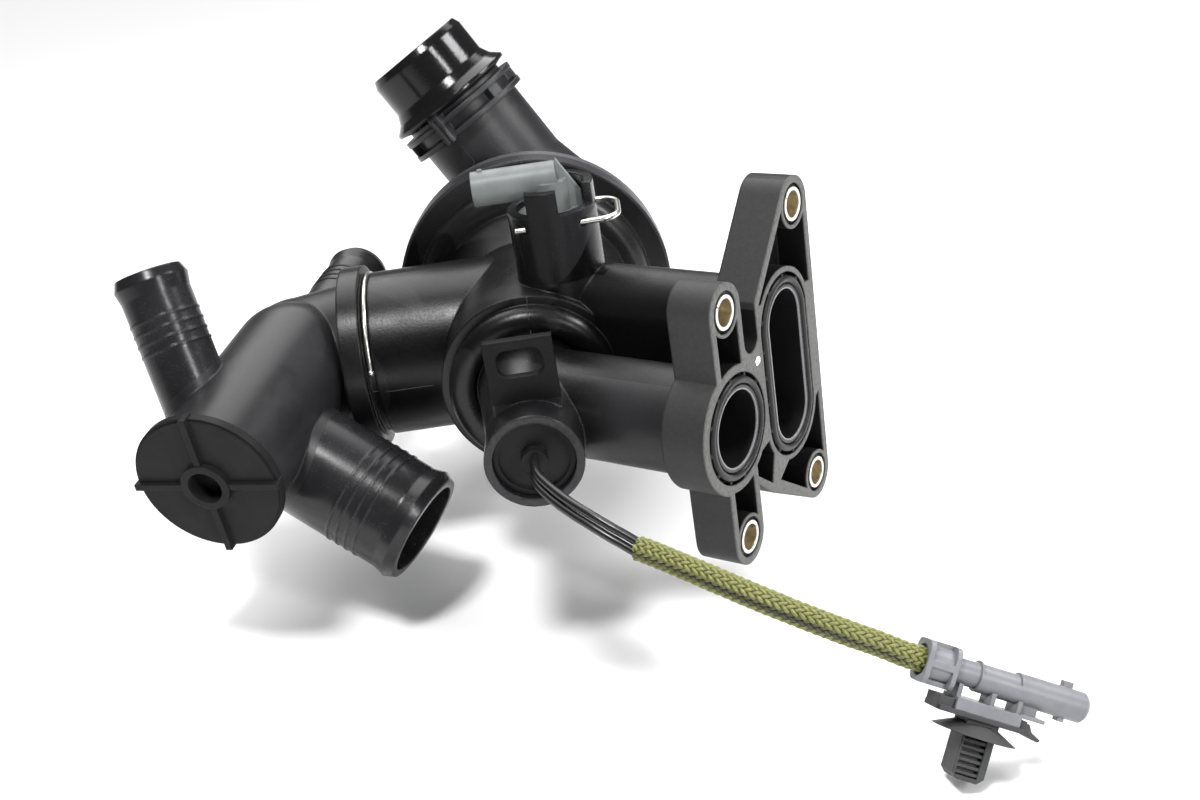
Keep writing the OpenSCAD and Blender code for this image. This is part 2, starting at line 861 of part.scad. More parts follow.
module heater_plug() {
  color([0.09, 0.09, 0.09])
    body_frame()
      difference() {
        union() {
          step(plug_v, plug_seat_v, bore_r + 0.35, bore_r + 0.35);
          step(plug_seat_v - eps, plug_nose_v, bore_r - 0.1, bore_r - 0.1);
          step(rim_v - 0.3, plug_v + 1.6, 3.3, 3.3);
        }
        along_axis() {
          // dished face round the wires' grommet
          translate([0, 0, plug_v - 1])
            difference() {
              cylinder(h = 2.2, r = bore_r - 1);
              cylinder(h = 2.2, r = 3.4);
            }
          translate([0, 0, plug_nose_v - 9])
            difference() {
              cylinder(h = 2, r = bore_r + 1);
              cylinder(h = 2, r = bore_r - 1.85);
            }
          translate([0, 0, plug_nose_v - 6])
            cylinder(h = 7, r = pin_od / 2 + fit);
        }
      }
}

module plug_o_ring() {
  color([0.06, 0.06, 0.06])
    body_frame()
      along_axis()
        translate([0, 0, plug_nose_v - 8])
          ring(bore_r - 0.95, 0.88);
}

module guide_pin() {
  color(steel)
    body_frame()
      step(plug_nose_v - 6, pin_end, pin_od / 2, pin_od / 2);
}

module wax_capsule() {
  color(brass)
    body_frame()
      along_axis()
        rotate_extrude()
          polygon([[pin_od / 2 + 0.06, disc_v - 3.2], [sleeve_r, disc_v - 3.2], [sleeve_r, bypass_v + 0.5],
            [capsule_od / 2 - 0.8, bypass_v + 0.5], [capsule_od / 2, bypass_v + 1.5], [capsule_od / 2, capsule_end - 12],
            [capsule_od / 2 + 1.2, capsule_end - 11], [capsule_od / 2 + 1.2, capsule_end - 2],
            [capsule_od / 2, capsule_end], [stem_od / 2, capsule_end + 2], [stem_od / 2, stem_end - 1],
            [stem_od / 2 - 1, stem_end], [0, stem_end], [0, pin_end + 2], [pin_od / 2 + 0.06, pin_end + 2]]);
}

module main_valve() {
  color(steel)
    body_frame()
      along_axis()
        difference() {
          union() {
            translate([0, 0, valve_v])
              cylinder(h = valve_t, r = valve_od / 2);
            translate([0, 0, valve_v - 4])
              cylinder(h = 6, r = stem_od / 2 + 2);
          }
          translate([0, 0, valve_v - 5])
            cylinder(h = 9, r = stem_od / 2 + 0.02);
        }
}

module valve_seal() {
  color([0.07, 0.07, 0.07])
    body_frame()
      along_axis()
        translate([0, 0, seat_v + 0.3])
          difference() {
            cylinder(h = valve_v - seat_v - 0.3, r = valve_od / 2);
            translate([0, 0, -1])
              cylinder(h = 4, r = seat_r - 1);
          }
}

module main_spring() {
  color(steel)
    body_frame()
      along_axis()
        polyhedron(points = coil_points(spring_r, spring_wire / 2, valve_v + valve_t + spring_wire / 2 + fit,
          bridge_v - spring_wire / 2 - fit, 4.5, coil_steps, 8), faces = tube_faces(coil_steps, 8), convexity = 6);
}

module valve_bridge() {
  color(steel)
    body_frame()
      difference() {
        union() {
          along_axis()
            translate([0, 0, joint_v])
              difference() {
                cylinder(h = 1.2, r = bridge_out);
                translate([0, 0, -1])
                  cylinder(h = 4, r = bridge_in);
              }
          for (s = [-1, 1])
            translate([s * bridge_leg_r - bridge_leg_t / 2, joint_v + 0.2, -4])
              cube([bridge_leg_t, bridge_v - joint_v + bridge_t - 0.2, 8]);
          translate([-bridge_leg_r - bridge_leg_t / 2, bridge_v, -4])
            cube([2 * bridge_leg_r + bridge_leg_t, bridge_t, 8]);
        }
        step(bridge_v - 1, bridge_v + 3, stem_od / 2 + 0.06, stem_od / 2 + 0.06);
      }
}

module bypass_valve() {
  color(steel)
    body_frame()
      along_axis()
        translate([0, 0, disc_v])
          difference() {
            cylinder(h = disc_t, r = disc_r);
            translate([0, 0, -1])
              cylinder(h = 4, r = sleeve_r + 0.05);
          }
}

module bypass_spring() {
  color(steel)
    body_frame()
      along_axis()
        polyhedron(points = coil_points(capsule_od / 2 - 1.4, 0.5, disc_v + disc_t + 0.55, bypass_v - 0.05, 3, 49, 8),
          faces = tube_faces(49, 8), convexity = 6);
}

module bypass_ring() {
  color(steel)
    body_frame()
      along_axis()
        translate([0, 0, disc_v - 1])
          difference() {
            cylinder(h = 1, r = sleeve_r + 1.6);
            translate([0, 0, -1])
              cylinder(h = 3, r = sleeve_r + 0.02);
          }
}

module bolt_bushings() {
  color(brass)
    for (p = bolts)
      on_face(flange_t, flange_t)
        translate(p)
          difference() {
            circle(bushing_od / 2);
            circle(bushing_bore / 2);
            rotate(p[1] > 0 ? 140 : 20)
              translate([0, -0.15])
                square([bushing_od, 0.3]);
          }
}

module port_seal() {
  color([0.07, 0.07, 0.07]) {
    on_face(seal_depth - 0.2, seal_depth)
      difference() {
        circle(port_groove_r - 0.3);
        circle(port_bore / 2 + port_lip + 0.3);
      }
    on_face(seal_depth - 0.2, seal_depth)
      difference() {
        for (a = [0:45:315], d = [-5, 5])
          rotate(a + d)
            translate([port_groove_r - 1, 0])
              circle(1);
        circle(port_bore / 2 + port_lip + 0.5);
      }
  }
}

module slot_seal() {
  color([0.07, 0.07, 0.07])
    on_face(seal_depth - 0.2, seal_depth) {
      difference() {
        slot_shape(slot_groove_r - 0.3);
        slot_shape(slot_w / 2 + port_lip + 0.3);
      }
      for (s = [-1, 1], z = [-11, -9, -1, 1, 9, 11])
        translate([slot_y + s * (slot_groove_r - 1), slot_z + z])
          circle(1);
    }
}

module heater_wire_a() {
  color([0.03, 0.03, 0.03])
    polyhedron(points = tube_points(beside(wire_route, wire_od / 2 + 0.1), wire_od / 2, 8),
      faces = tube_faces(len(wire_route), 8), convexity = 4);
}

module heater_wire_b() {
  color([0.03, 0.03, 0.03])
    polyhedron(points = tube_points(beside(wire_route, -wire_od / 2 - 0.1), wire_od / 2, 8),
      faces = tube_faces(len(wire_route), 8), convexity = 4);
}

module braided_sleeve() {
  color([0.32, 0.34, 0.2])
    polyhedron(points = tube_points(sleeve_route, sleeve_od / 2, 12), faces = tube_faces(len(sleeve_route), 12),
      convexity = 4);
}

// Round step along the connector from A to B
module barrel(a, b, r) {
  translate([a, 0, 0])
    rotate([0, 90, 0])
      cylinder(h = b - a, r = r);
}

// Square collar with round corners on the connector from A to B
module collar(a, b) {
  translate([a, 0, 0])
    rotate([90, 0, 90])
      linear_extrude(b - a) {
        square([2 * collar_half - 5.2, 2 * collar_half], center = true);
        square([2 * collar_half - 1.2, 2 * collar_half - 4], center = true);
        for (i = [-1, 1], j = [-1, 1])
          translate([i * (collar_half - 2.6), j * (collar_half - 2)])
            circle(2);
      }
}

module lead_connector() {
  color(pale)
    lead_frame()
      difference() {
        union() {
          collar(0, 1.3);
          barrel(1, 7, barrel_r + 0.35);
          collar(6.4, 7.5);
          // bars between the collars
          translate([1, -collar_half + 0.6, -0.8])
            cube([6, 2 * collar_half - 1.2, 1.6]);
          translate([1, -1, -collar_half])
            cube([6, 2, 2 * collar_half]);
          translate([1, -collar_half + 2.6, -collar_half])
            cube([6, 2 * collar_half - 5.2, 1.2]);
          barrel(7, 13.8, barrel_r - 0.6);
          barrel(13.3, connector_len - 0.8, barrel_r);
          translate([connector_len - 0.8, 0, 0])
            rotate([0, 90, 0])
              cylinder(h = 0.8, r1 = barrel_r, r2 = barrel_r - 0.7);
          // keys of the front barrel
          translate([connector_len - 6.6, -0.8, 0])
            cube([2.4, 1.6, barrel_r + 1.3]);
          translate([connector_len - 6, -1.2, -barrel_r - 0.8])
            cube([1.6, 2.4, barrel_r]);
          // rail with its webs
          translate([9, -collar_half + 0.4, rail_z])
            cube([15.5, 2 * collar_half - 0.8, 2.8]);
          for (x = [9, 17, 23.4])
            translate([x, -3, rail_z + 2])
              cube([1.1, 6, -rail_z - 4.5]);
          // tongue past the rail
          translate([24.3, -4, rail_z + 2.2])
            cube([5.8, 8, 0.9]);
          translate([24.3, -1.8, rail_z + 2.4])
            cube([4.4, 3.6, -rail_z - 5]);
        }
        barrel(-1, 0.9, sleeve_od / 2 + 0.6);
        barrel(0, 2.6, sleeve_od / 2 + 0.12);
        barrel(connector_len - 10, connector_len + 1, barrel_r - 0.9);
        // step on the barrel's upper side
        translate([13.8, 0, 0])
          rotate([0, 90, 0])
            rotate([0, 0, 105])
              rotate_extrude(angle = 150)
                translate([barrel_r - 0.5, 0])
                  square([2, 9.2]);
      }
}

module lead_pins() {
  color(steel)
    lead_frame()
      for (s = [-1, 1])
        translate([0, s * 1.1, 0])
          barrel(connector_len - 10, connector_len - 2, 0.45);
}

// Outline of the clip's foot with cut corners
module foot_shape(w, drop) {
  polygon([[-w / 2, 0], [w / 2, 0], [w / 2, 1.4 - drop], [w / 2 - 1.4, -drop], [1.2 - w / 2, -drop],
    [-w / 2, 1.2 - drop]]);
}

module lead_clip() {
  color([0.1, 0.1, 0.1])
    lead_frame() {
      // bracket under the rail with a jaw at each end
      translate([5.4, -collar_half + 0.2, rail_z - 1.1])
        cube([21, 2 * collar_half - 0.4, 1.1]);
      translate([5.1, -3.6, rail_z - 1.1])
        cube([3.8, 7.2, 3.2]);
      translate([24.6, -3.6, rail_z - 1.1])
        cube([1.8, 7.2, 2.9]);
      translate([0, 3.6, 0])
        rotate([90, 0, 0])
          linear_extrude(7.2)
            polygon([[26, rail_z - 1.1], [29.8, rail_z - 2], [30.4, rail_z - 1.4], [28, rail_z - 0.2],
              [27, rail_z + 1.4], [26, rail_z + 1.4]]);
      // stem, sprung disc and foot
      translate([foot_x - 3.8, -3.6, disc_drop + 1])
        cube([7.6, 7.2, rail_z - disc_drop - 1.5]);
      translate([foot_x, 0, disc_drop])
        difference() {
          cylinder(h = 2.5, r1 = clip_disc_od / 2, r2 = 4.4);
          translate([0, 0, -0.9])
            cylinder(h = 2.5, r1 = clip_disc_od / 2, r2 = 4.4);
        }
      translate([foot_x, 3.5, disc_drop + 1.5])
        rotate([90, 0, 0])
          difference() {
            linear_extrude(7)
              foot_shape(7.5, 11.6);
            for (z = [-1, 5.8])
              translate([-3.2, -10.6, z])
                cube([5.3, 8.6, 2.2]);
          }
      for (k = [0:5])
        translate([foot_x - 3.3, -3.3, disc_drop - 8.8 + 1.44 * k])
          cube([5.5, 6.6, 0.75]);
    }
}

housing();
outlet_cover();
distributor();
distributor_cap();
distributor_clip();
distributor_o_ring();
sensor_body();
sensor_pins();
sensor_probe();
sensor_o_ring();
sensor_clip();
heater_plug();
plug_o_ring();
guide_pin();
wax_capsule();
main_valve();
valve_seal();
main_spring();
valve_bridge();
bypass_valve();
bypass_spring();
bypass_ring();
bolt_bushings();
port_seal();
slot_seal();
heater_wire_a();
heater_wire_b();
braided_sleeve();
lead_connector();
lead_pins();
lead_clip();
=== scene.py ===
"""Finishes, lead, seals, camera and studio for the engine coolant housing."""

import json
import math

import bmesh
import bpy
from mathutils import Matrix, Vector

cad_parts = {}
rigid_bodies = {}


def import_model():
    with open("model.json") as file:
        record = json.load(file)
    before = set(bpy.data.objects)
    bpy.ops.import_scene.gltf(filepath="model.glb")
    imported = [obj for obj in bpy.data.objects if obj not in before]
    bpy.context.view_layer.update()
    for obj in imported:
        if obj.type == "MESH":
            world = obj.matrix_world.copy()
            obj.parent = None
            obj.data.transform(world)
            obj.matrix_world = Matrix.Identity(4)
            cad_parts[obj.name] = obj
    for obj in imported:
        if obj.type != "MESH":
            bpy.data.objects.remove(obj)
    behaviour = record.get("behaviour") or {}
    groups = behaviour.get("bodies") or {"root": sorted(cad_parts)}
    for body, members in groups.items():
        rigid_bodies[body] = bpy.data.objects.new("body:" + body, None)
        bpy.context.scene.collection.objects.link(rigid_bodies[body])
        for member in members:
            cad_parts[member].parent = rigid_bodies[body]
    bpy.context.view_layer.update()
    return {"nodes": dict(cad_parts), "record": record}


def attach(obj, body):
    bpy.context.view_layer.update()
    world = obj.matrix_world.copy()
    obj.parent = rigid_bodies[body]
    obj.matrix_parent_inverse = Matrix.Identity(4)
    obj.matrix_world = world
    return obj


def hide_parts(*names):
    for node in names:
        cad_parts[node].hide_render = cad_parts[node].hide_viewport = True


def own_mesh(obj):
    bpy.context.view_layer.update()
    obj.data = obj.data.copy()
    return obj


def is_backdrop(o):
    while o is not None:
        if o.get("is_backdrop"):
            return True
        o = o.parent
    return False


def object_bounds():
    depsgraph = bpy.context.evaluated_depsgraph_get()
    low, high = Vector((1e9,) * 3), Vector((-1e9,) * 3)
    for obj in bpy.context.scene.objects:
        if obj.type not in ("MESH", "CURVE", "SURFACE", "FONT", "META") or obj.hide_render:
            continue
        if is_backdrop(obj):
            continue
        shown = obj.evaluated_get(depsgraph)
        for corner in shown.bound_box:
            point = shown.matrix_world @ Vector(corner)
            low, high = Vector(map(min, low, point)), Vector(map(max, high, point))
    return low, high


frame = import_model()

bl_info = {
    "name": "Coolant housing",
    "version": (1, 0, 0),
    "blender": (4, 5, 0),
    "location": "View3D > Sidebar > Coolant",
    "description": "Dresses an engine coolant housing with its finishes, lead and studio",
    "category": "Object",
}

MM = 0.001
NODES = frame["nodes"]
HOUSING_BODY = "housing_body"
STROKE_JOINT = "valve_stroke"
JOINTS = {joint["name"]: joint for joint in frame["record"]["behaviour"]["joints"]}
VALVE_STROKE = JOINTS[STROKE_JOINT]["range_m"][1]

# Sizes and places below are in millimetres and degrees unless their comment says otherwise

# Frame of the chamber, as the solids have it: v runs along the boss's axis, w up
BODY_TURN = 35.0
TUBE_REACH = 62.7
TUBE_TO_BRANCH = 46.8
NECK_ROOT = (15.0, 61.0, 0.0)
NECK_TILT = 31.0
NECK_AIM = 167.8
KEY_TURN = 88.0

# Flange face: bores, grooves, lips and pockets in the frame's y and z
PORT_PLACE = (0.0, 0.0)
PORT_BORE = 10.0
PORT_GROOVE = 14.4
SLOT_PLACE = (28.8, 4.5)
SLOT_HALF_RUN = 12.7
SLOT_BORE = 8.3
SLOT_GROOVE = 12.7
SEAL_LIP = 1.2
SEAL_GAP = 0.2
# Width of the painted highlight along the bore's edge of each lip
LIP_HIGHLIGHT_WIDTH = 0.3
PAINT_DOT = (13.26, 12.65)
PAINT_DOT_RADIUS = 1.2
PAINT_DOT_RAGGED = 1.4
FRONT_HALF_WIDTH = 6.2
FRONT_HALF_HEIGHT = 30.0
REAR_EDGE = 45.4
FLANGE_WALL = 1.2
# A point on each slanted edge of the rear ears, and the direction into the flange
SHOULDER = (14.6, 27.8)
SHOULDER_IN = (0.7603, -0.6496)
HEEL = (14.6, -26.5)
HEEL_IN = (0.5316, 0.847)

# Flange depths along the frame's x, with the sealing face at 0
FLANGE_DEPTH = (-12.2, 0.5)
FACE_DEPTH = (-0.25, 0.5)
POCKET_START = -0.3
LIP_START = -0.4
BUSHING_END = -0.3

# Where the housing's finish changes, in the chamber's frame, and the ducts' start along x
DUCT_START = (-66.0, -52.0)
BOSS_RADIUS = 13.5
BOSS_FADE = 24.0
BOSS_ROOT = -40.0
BOSS_RIM = -84.4
PLATE_DEPTH = (-77.0, -73.0)
PLATE_FOOT = 12.5
PLATE_HALF_WIDTH = 9.5
SENSOR_PLACE = (11.6, -23.0)
SOCKET_REACH = 15.5
SOCKET_FOOT = 27.0
SOCKET_FRONT = (-11.0, -5.0)
JOINT_RADIUS = 42.6
JOINT_DEPTH = (32.0, 39.5)

# Where the cover's and the distributor's finish changes
COVER_RIM_RADIUS = 42.2
COVER_RIM_END = 45.5
SPIGOT_START = (66.0, 66.6)
TUBE_PLACE = (-132.25, -37.93, 1.86)
TUBE_AIM = (0.3314, -0.9358, -0.1201)
TUBE_RADIUS = 20.8

# Mould lines: where the rays that find the surface start, and each ridge's radius
RAY_RUN_UP = 40.0
BRANCH_LINE = range(-48, -28, 2)
BRANCH_LINE_SLOPE = 95.0
BRANCH_RIDGE = 0.16
CHAMBER_LINE_PLACE = (1.6, -37.0, 60.0)
CHAMBER_LINE_STEP = -0.5
CHAMBER_LINE_STEPS = 16
CHAMBER_RIDGE = 0.14
NECK_LINE = range(32, 57, 2)
NECK_RIDGE = 0.15

# Camera of a picture that is 1200 by 800, its near clip in metres
CAMERA_PLACE = (169.7, -281.25, 168.1)
CAMERA_RIGHT = (0.83, 0.539, -0.141)
CAMERA_UP = (-0.128, 0.431, 0.893)
FOCAL_LENGTH = 44.22
SENSOR_WIDTH = 36.0
NEAR_CLIP = 0.01

# Routes of the lead, and the side of the sleeve that is creased
PICTURE_UP = Vector(CAMERA_UP)
WIRE_ROUTE = [
    (-40.7, -31.5, 0), (-38.4, -34.8, -0.2), (-35.2, -37.6, -1), (-31, -39.6, -2), (-26.5, -41.2, -3),
    (-21.5, -42.6, -4), (-16.5, -43.5, -5.2), (-11.5, -43.8, -7), (-7.8, -43.6, -8.6), (-4.4, -43.4, -10.2),
]
SLEEVE_ROUTE = [
    (-4.4, -43.4, -10.2), (0.2, -43.5, -10.9), (6.8, -43.6, -12.2), (14.3, -43.4, -14), (22.6, -42.7, -16.5),
    (30.5, -41.5, -19.2), (38, -39.7, -22.2), (45.1, -37.3, -25.5), (50.9, -34.7, -28.5),
    (55.4286, -32.574, -31.2802), (58.6, -30.6, -33.2), (60.4122, -29.472, -34.297),
]
CREASE_AIM = (0.215, -0.977, 0.014)

# Sleeve: points and sides of its mesh, how far the crease spreads and how much painted shade it gets, and how
# deep the core lies, as shares of a strand's radius and of the crease's depth
SLEEVE_POINTS = 220
YARN_SIDES = 6
CORE_SIDES = 24
CREASE_EDGE = (0.9, 0.995)
CREASE_SHADE = 1.2
CORE_UNDER_STRAND = 0.8
CORE_UNDER_CREASE = 0.6

# Face seals: points of their mesh, and shares of the bead's width and height
SEAL_POINTS = 180
CORNER_POINTS = 6
NUB_ROUNDS = 2
CORNER_SHARE = 0.48
NUB_REACH_SHARE = 0.6
NUB_LIFT_SHARE = 0.2

# Studio, in metres and degrees, each softbox with its name, place, size and share of the power
FLOOR_HALF = 6.0
STUDIO_MIDDLE = (-0.03, 0.0, 0.0)
CEILING_AIM = (-0.36, 0.44, 0.82)
CEILING_SPREAD = 56.0
SOFTBOXES = (
    ("right_softbox", (0.63, -0.17, 0.3), (0.08, 0.36), 0.8),
    ("top_softbox", (0.02, -0.28, 0.72), (0.15, 0.15), 1.2),
    ("back_softbox", (0.4, 0.42, 0.5), (0.3, 0.2), 1.0),
)

# Mirror share of a finish, and the share of the housing's dead places that has none
DULL = 0.26
DEAD = 0.1
NO_MIRROR = 0.0
DEAD_SHARE = 0.75

# Roughness that a place on a moulding adds or takes off
DULL_ROUGHER = 0.12
LIP_SMOOTHER = 0.26
SOCKET_SMOOTHER = 0.14
SPIGOT_SMOOTHER = 0.27
NIPPLE_SMOOTHER = 0.14

# Samples of a rounded edge, and the turn of its normal that counts as worn
BEVEL_SAMPLES = 6
WORN_TURN = (0.015, 0.22)


def body_matrix():
    """Chamber frame to the object's frame, in millimetres."""
    return (
        Matrix.Translation((-TUBE_REACH, 0, 0))
        @ Matrix.Rotation(math.radians(BODY_TURN), 4, "Z")
        @ Matrix.Translation((0, TUBE_TO_BRANCH, 0))
    )


def neck_matrix():
    """Frame of the hose neck, with Z along it, to the object's frame, in millimetres."""
    return (
        body_matrix()
        @ Matrix.Translation(NECK_ROOT)
        @ Matrix.Rotation(math.radians(NECK_AIM), 4, "Z")
        @ Matrix.Rotation(math.radians(NECK_TILT), 4, "Y")
    )


def tube_matrix():
    """Frame of the distributor's tube, likewise."""
    return Matrix.Translation(TUBE_PLACE) @ Vector(TUBE_AIM).to_track_quat("Z", "Y").to_matrix().to_4x4()


class CoolantLead(bpy.types.PropertyGroup):
    """Sizes of the heater lead."""

    wire_diameter: bpy.props.FloatProperty(
        name="Wire diameter", description="Outside of one wire", default=2.2 * MM, unit="LENGTH")
    wire_gap: bpy.props.FloatProperty(
        name="Wire gap", description="Gap between the two wires", default=0.2 * MM, unit="LENGTH")
    sleeve_diameter: bpy.props.FloatProperty(
        name="Sleeve diameter", description="Outside of the braided sleeve", default=6.1 * MM, unit="LENGTH")
    strands: bpy.props.IntProperty(
        name="Strands", description="Strands that wind each way round the sleeve", default=16, min=4, step=2)
    turns: bpy.props.FloatProperty(
        name="Turns", description="Turns of a strand along the sleeve", default=2.3, min=1.0)
    strand_radius: bpy.props.FloatProperty(
        name="Strand radius", description="Half the thickness of a strand", default=0.47 * MM, unit="LENGTH")
    weave_height: bpy.props.FloatProperty(
        name="Weave height", description="How far a strand rises over the others",
        default=0.32 * MM, unit="LENGTH")
    crease_depth: bpy.props.FloatProperty(
        name="Crease depth", description="Depth of the fold along the sleeve",
        default=0.5 * MM, unit="LENGTH")


class CoolantSeals(bpy.types.PropertyGroup):
    """Sizes of the seals of the flange face."""

    width: bpy.props.FloatProperty(
        name="Bead width", description="Width of the bead", default=2.1 * MM, unit="LENGTH")
    height: bpy.props.FloatProperty(
        name="Bead height", description="Height of the bead from the groove's floor",
        default=3.4 * MM, unit="LENGTH")
    proud: bpy.props.FloatProperty(
        name="Proud", description="How far the bead stands out of the face", default=0.5 * MM, unit="LENGTH")
    nub_radius: bpy.props.FloatProperty(
        name="Nub radius", description="Half the width of a nub that holds the seal",
        default=0.6 * MM, unit="LENGTH")
    port_nubs: bpy.props.IntProperty(
        name="Port nubs", description="Nubs round the port's seal", default=12, min=3)
    slot_nubs: bpy.props.IntProperty(
        name="Slot nubs", description="Nubs round the slot's seal", default=16, min=3)


class CoolantColours(bpy.types.PropertyGroup):
    """Colours of the finishes."""

    moulding: bpy.props.FloatVectorProperty(
        name="Moulding", description="Black glass-filled moulding",
        default=(0.0065, 0.0065, 0.007), subtype="COLOR")
    small_moulding: bpy.props.FloatVectorProperty(
        name="Cap and plug", description="Black of the distributor's cap and of the heater plug",
        default=(0.011, 0.011, 0.0115), subtype="COLOR")
    cut_face: bpy.props.FloatVectorProperty(
        name="Sealing face", description="Worn grey of the flange face",
        default=(0.095, 0.095, 0.093), subtype="COLOR")
    flange_side: bpy.props.FloatVectorProperty(
        name="Flange side", description="Dull grey of the flange's sides",
        default=(0.021, 0.021, 0.021), subtype="COLOR")
    sensor: bpy.props.FloatVectorProperty(
        name="Sensor", description="Grey of the sensor", default=(0.145, 0.158, 0.156), subtype="COLOR")
    connector: bpy.props.FloatVectorProperty(
        name="Connector", description="Pale grey of the lead's connector",
        default=(0.165, 0.169, 0.182), subtype="COLOR")
    clip: bpy.props.FloatVectorProperty(
        name="Clip", description="Dark grey of the lead's clip",
        default=(0.042, 0.042, 0.043), subtype="COLOR")
    wire: bpy.props.FloatVectorProperty(
        name="Wire", description="Black of the wires' covers", default=(0.009, 0.009, 0.009), subtype="COLOR")
    braid: bpy.props.FloatVectorProperty(
        name="Braid", description="Olive green of the sleeve", default=(0.142, 0.148, 0.038), subtype="COLOR")
    rubber: bpy.props.FloatVectorProperty(
        name="Rubber", description="Black of the seals", default=(0.003, 0.003, 0.003), subtype="COLOR")
    steel: bpy.props.FloatVectorProperty(
        name="Steel", description="Drawn and pressed steel", default=(0.62, 0.61, 0.58), subtype="COLOR")
    bushing: bpy.props.FloatVectorProperty(
        name="Bushing", description="Passivated steel of the bushings",
        default=(0.78, 0.69, 0.5), subtype="COLOR")
    brass: bpy.props.FloatVectorProperty(
        name="Brass", description="Brass of the capsule and probe", default=(0.72, 0.5, 0.2), subtype="COLOR")
    paint: bpy.props.FloatVectorProperty(
        name="Paint", description="White paint dot", default=(0.8, 0.8, 0.78), subtype="COLOR")


class CoolantStage(bpy.types.PropertyGroup):
    """Floor and light."""

    floor_drop: bpy.props.FloatProperty(
        name="Floor drop", description="Gap from the lowest point to the floor",
        default=0.3 * MM, unit="LENGTH")
    floor_colour: bpy.props.FloatVectorProperty(
        name="Floor", description="Pale floor", default=(0.9, 0.9, 0.9), subtype="COLOR")
    air_strength: bpy.props.FloatProperty(
        name="Air", description="Strength of the even light", default=0.1, min=0.0)
    sky_strength: bpy.props.FloatProperty(
        name="Ceiling", description="Strength of the wide light from above", default=3.2, min=0.0)
    soft_strength: bpy.props.FloatProperty(
        name="Softbox", description="Power of the softboxes in watts", default=5.0, min=0.0)


class Value:
    """A socket that takes part in sums."""

    def __init__(self, tree, socket):
        self.tree = tree
        self.socket = socket

    def sum(self, operation, other=0.0, swap=False):
        pair = (other, self) if swap else (self, other)
        return self.tree.node("ShaderNodeMath", {"operation": operation}, {0: pair[0], 1: pair[1]})

    def __add__(self, other):
        return self.sum("ADD", other)

    __radd__ = __add__

    def __sub__(self, other):
        return self.sum("SUBTRACT", other)

    def __rsub__(self, other):
        return self.sum("SUBTRACT", other, True)

    def __mul__(self, other):
        return self.sum("MULTIPLY", other)

    __rmul__ = __mul__

    def __gt__(self, other):
        return self.sum("GREATER_THAN", other)

    def __lt__(self, other):
        return self.sum("LESS_THAN", other)

    def size(self):
        return self.sum("ABSOLUTE")

    def larger(self, other):
        return self.sum("MAXIMUM", other)

    def swing(self, reach):
        """A noise that swings round 0 in place of 0.5."""
        return (self - 0.5) * reach

    def within(self, low, high):
        """1 between low and high, 0 outside."""
        return (self > low) * (self < high)

    def step(self, low, high):
        """Rises smoothly from 0 at low to 1 at high."""
        return self.tree.node(
            "ShaderNodeMapRange",
            {"interpolation_type": "SMOOTHSTEP"},
            {"Value": self, "From Min": low, "From Max": high, "To Min": 0.0, "To Max": 1.0})


def span(a, b):
    """Distance that two values at right angles make."""
    return (a * a + b * b).sum("POWER", 0.5)


def times(factor, colour):
    """A colour made lighter or darker."""
    return [factor * part for part in colour]


class Tree:
    """Builds the nodes of a shader or of a geometry tree."""

    def __init__(self, nodes, links):
        self.nodes = nodes
        self.links = links

    def feed(self, socket, value):
        """Links a socket to what feeds it, or sets it."""
        if isinstance(value, Value):
            self.links.new(value.socket, socket)
        elif isinstance(value, bpy.types.NodeSocket):
            self.links.new(value, socket)
        else:
            socket.default_value = value

    def node(self, kind, settings=None, sockets=None, out=0):
        made = self.nodes.new(kind)
        for name, value in (settings or {}).items():
            setattr(made, name, value)
        for name, value in (sockets or {}).items():
            self.feed(made.inputs[name], value)
        return Value(self, made.outputs[out])


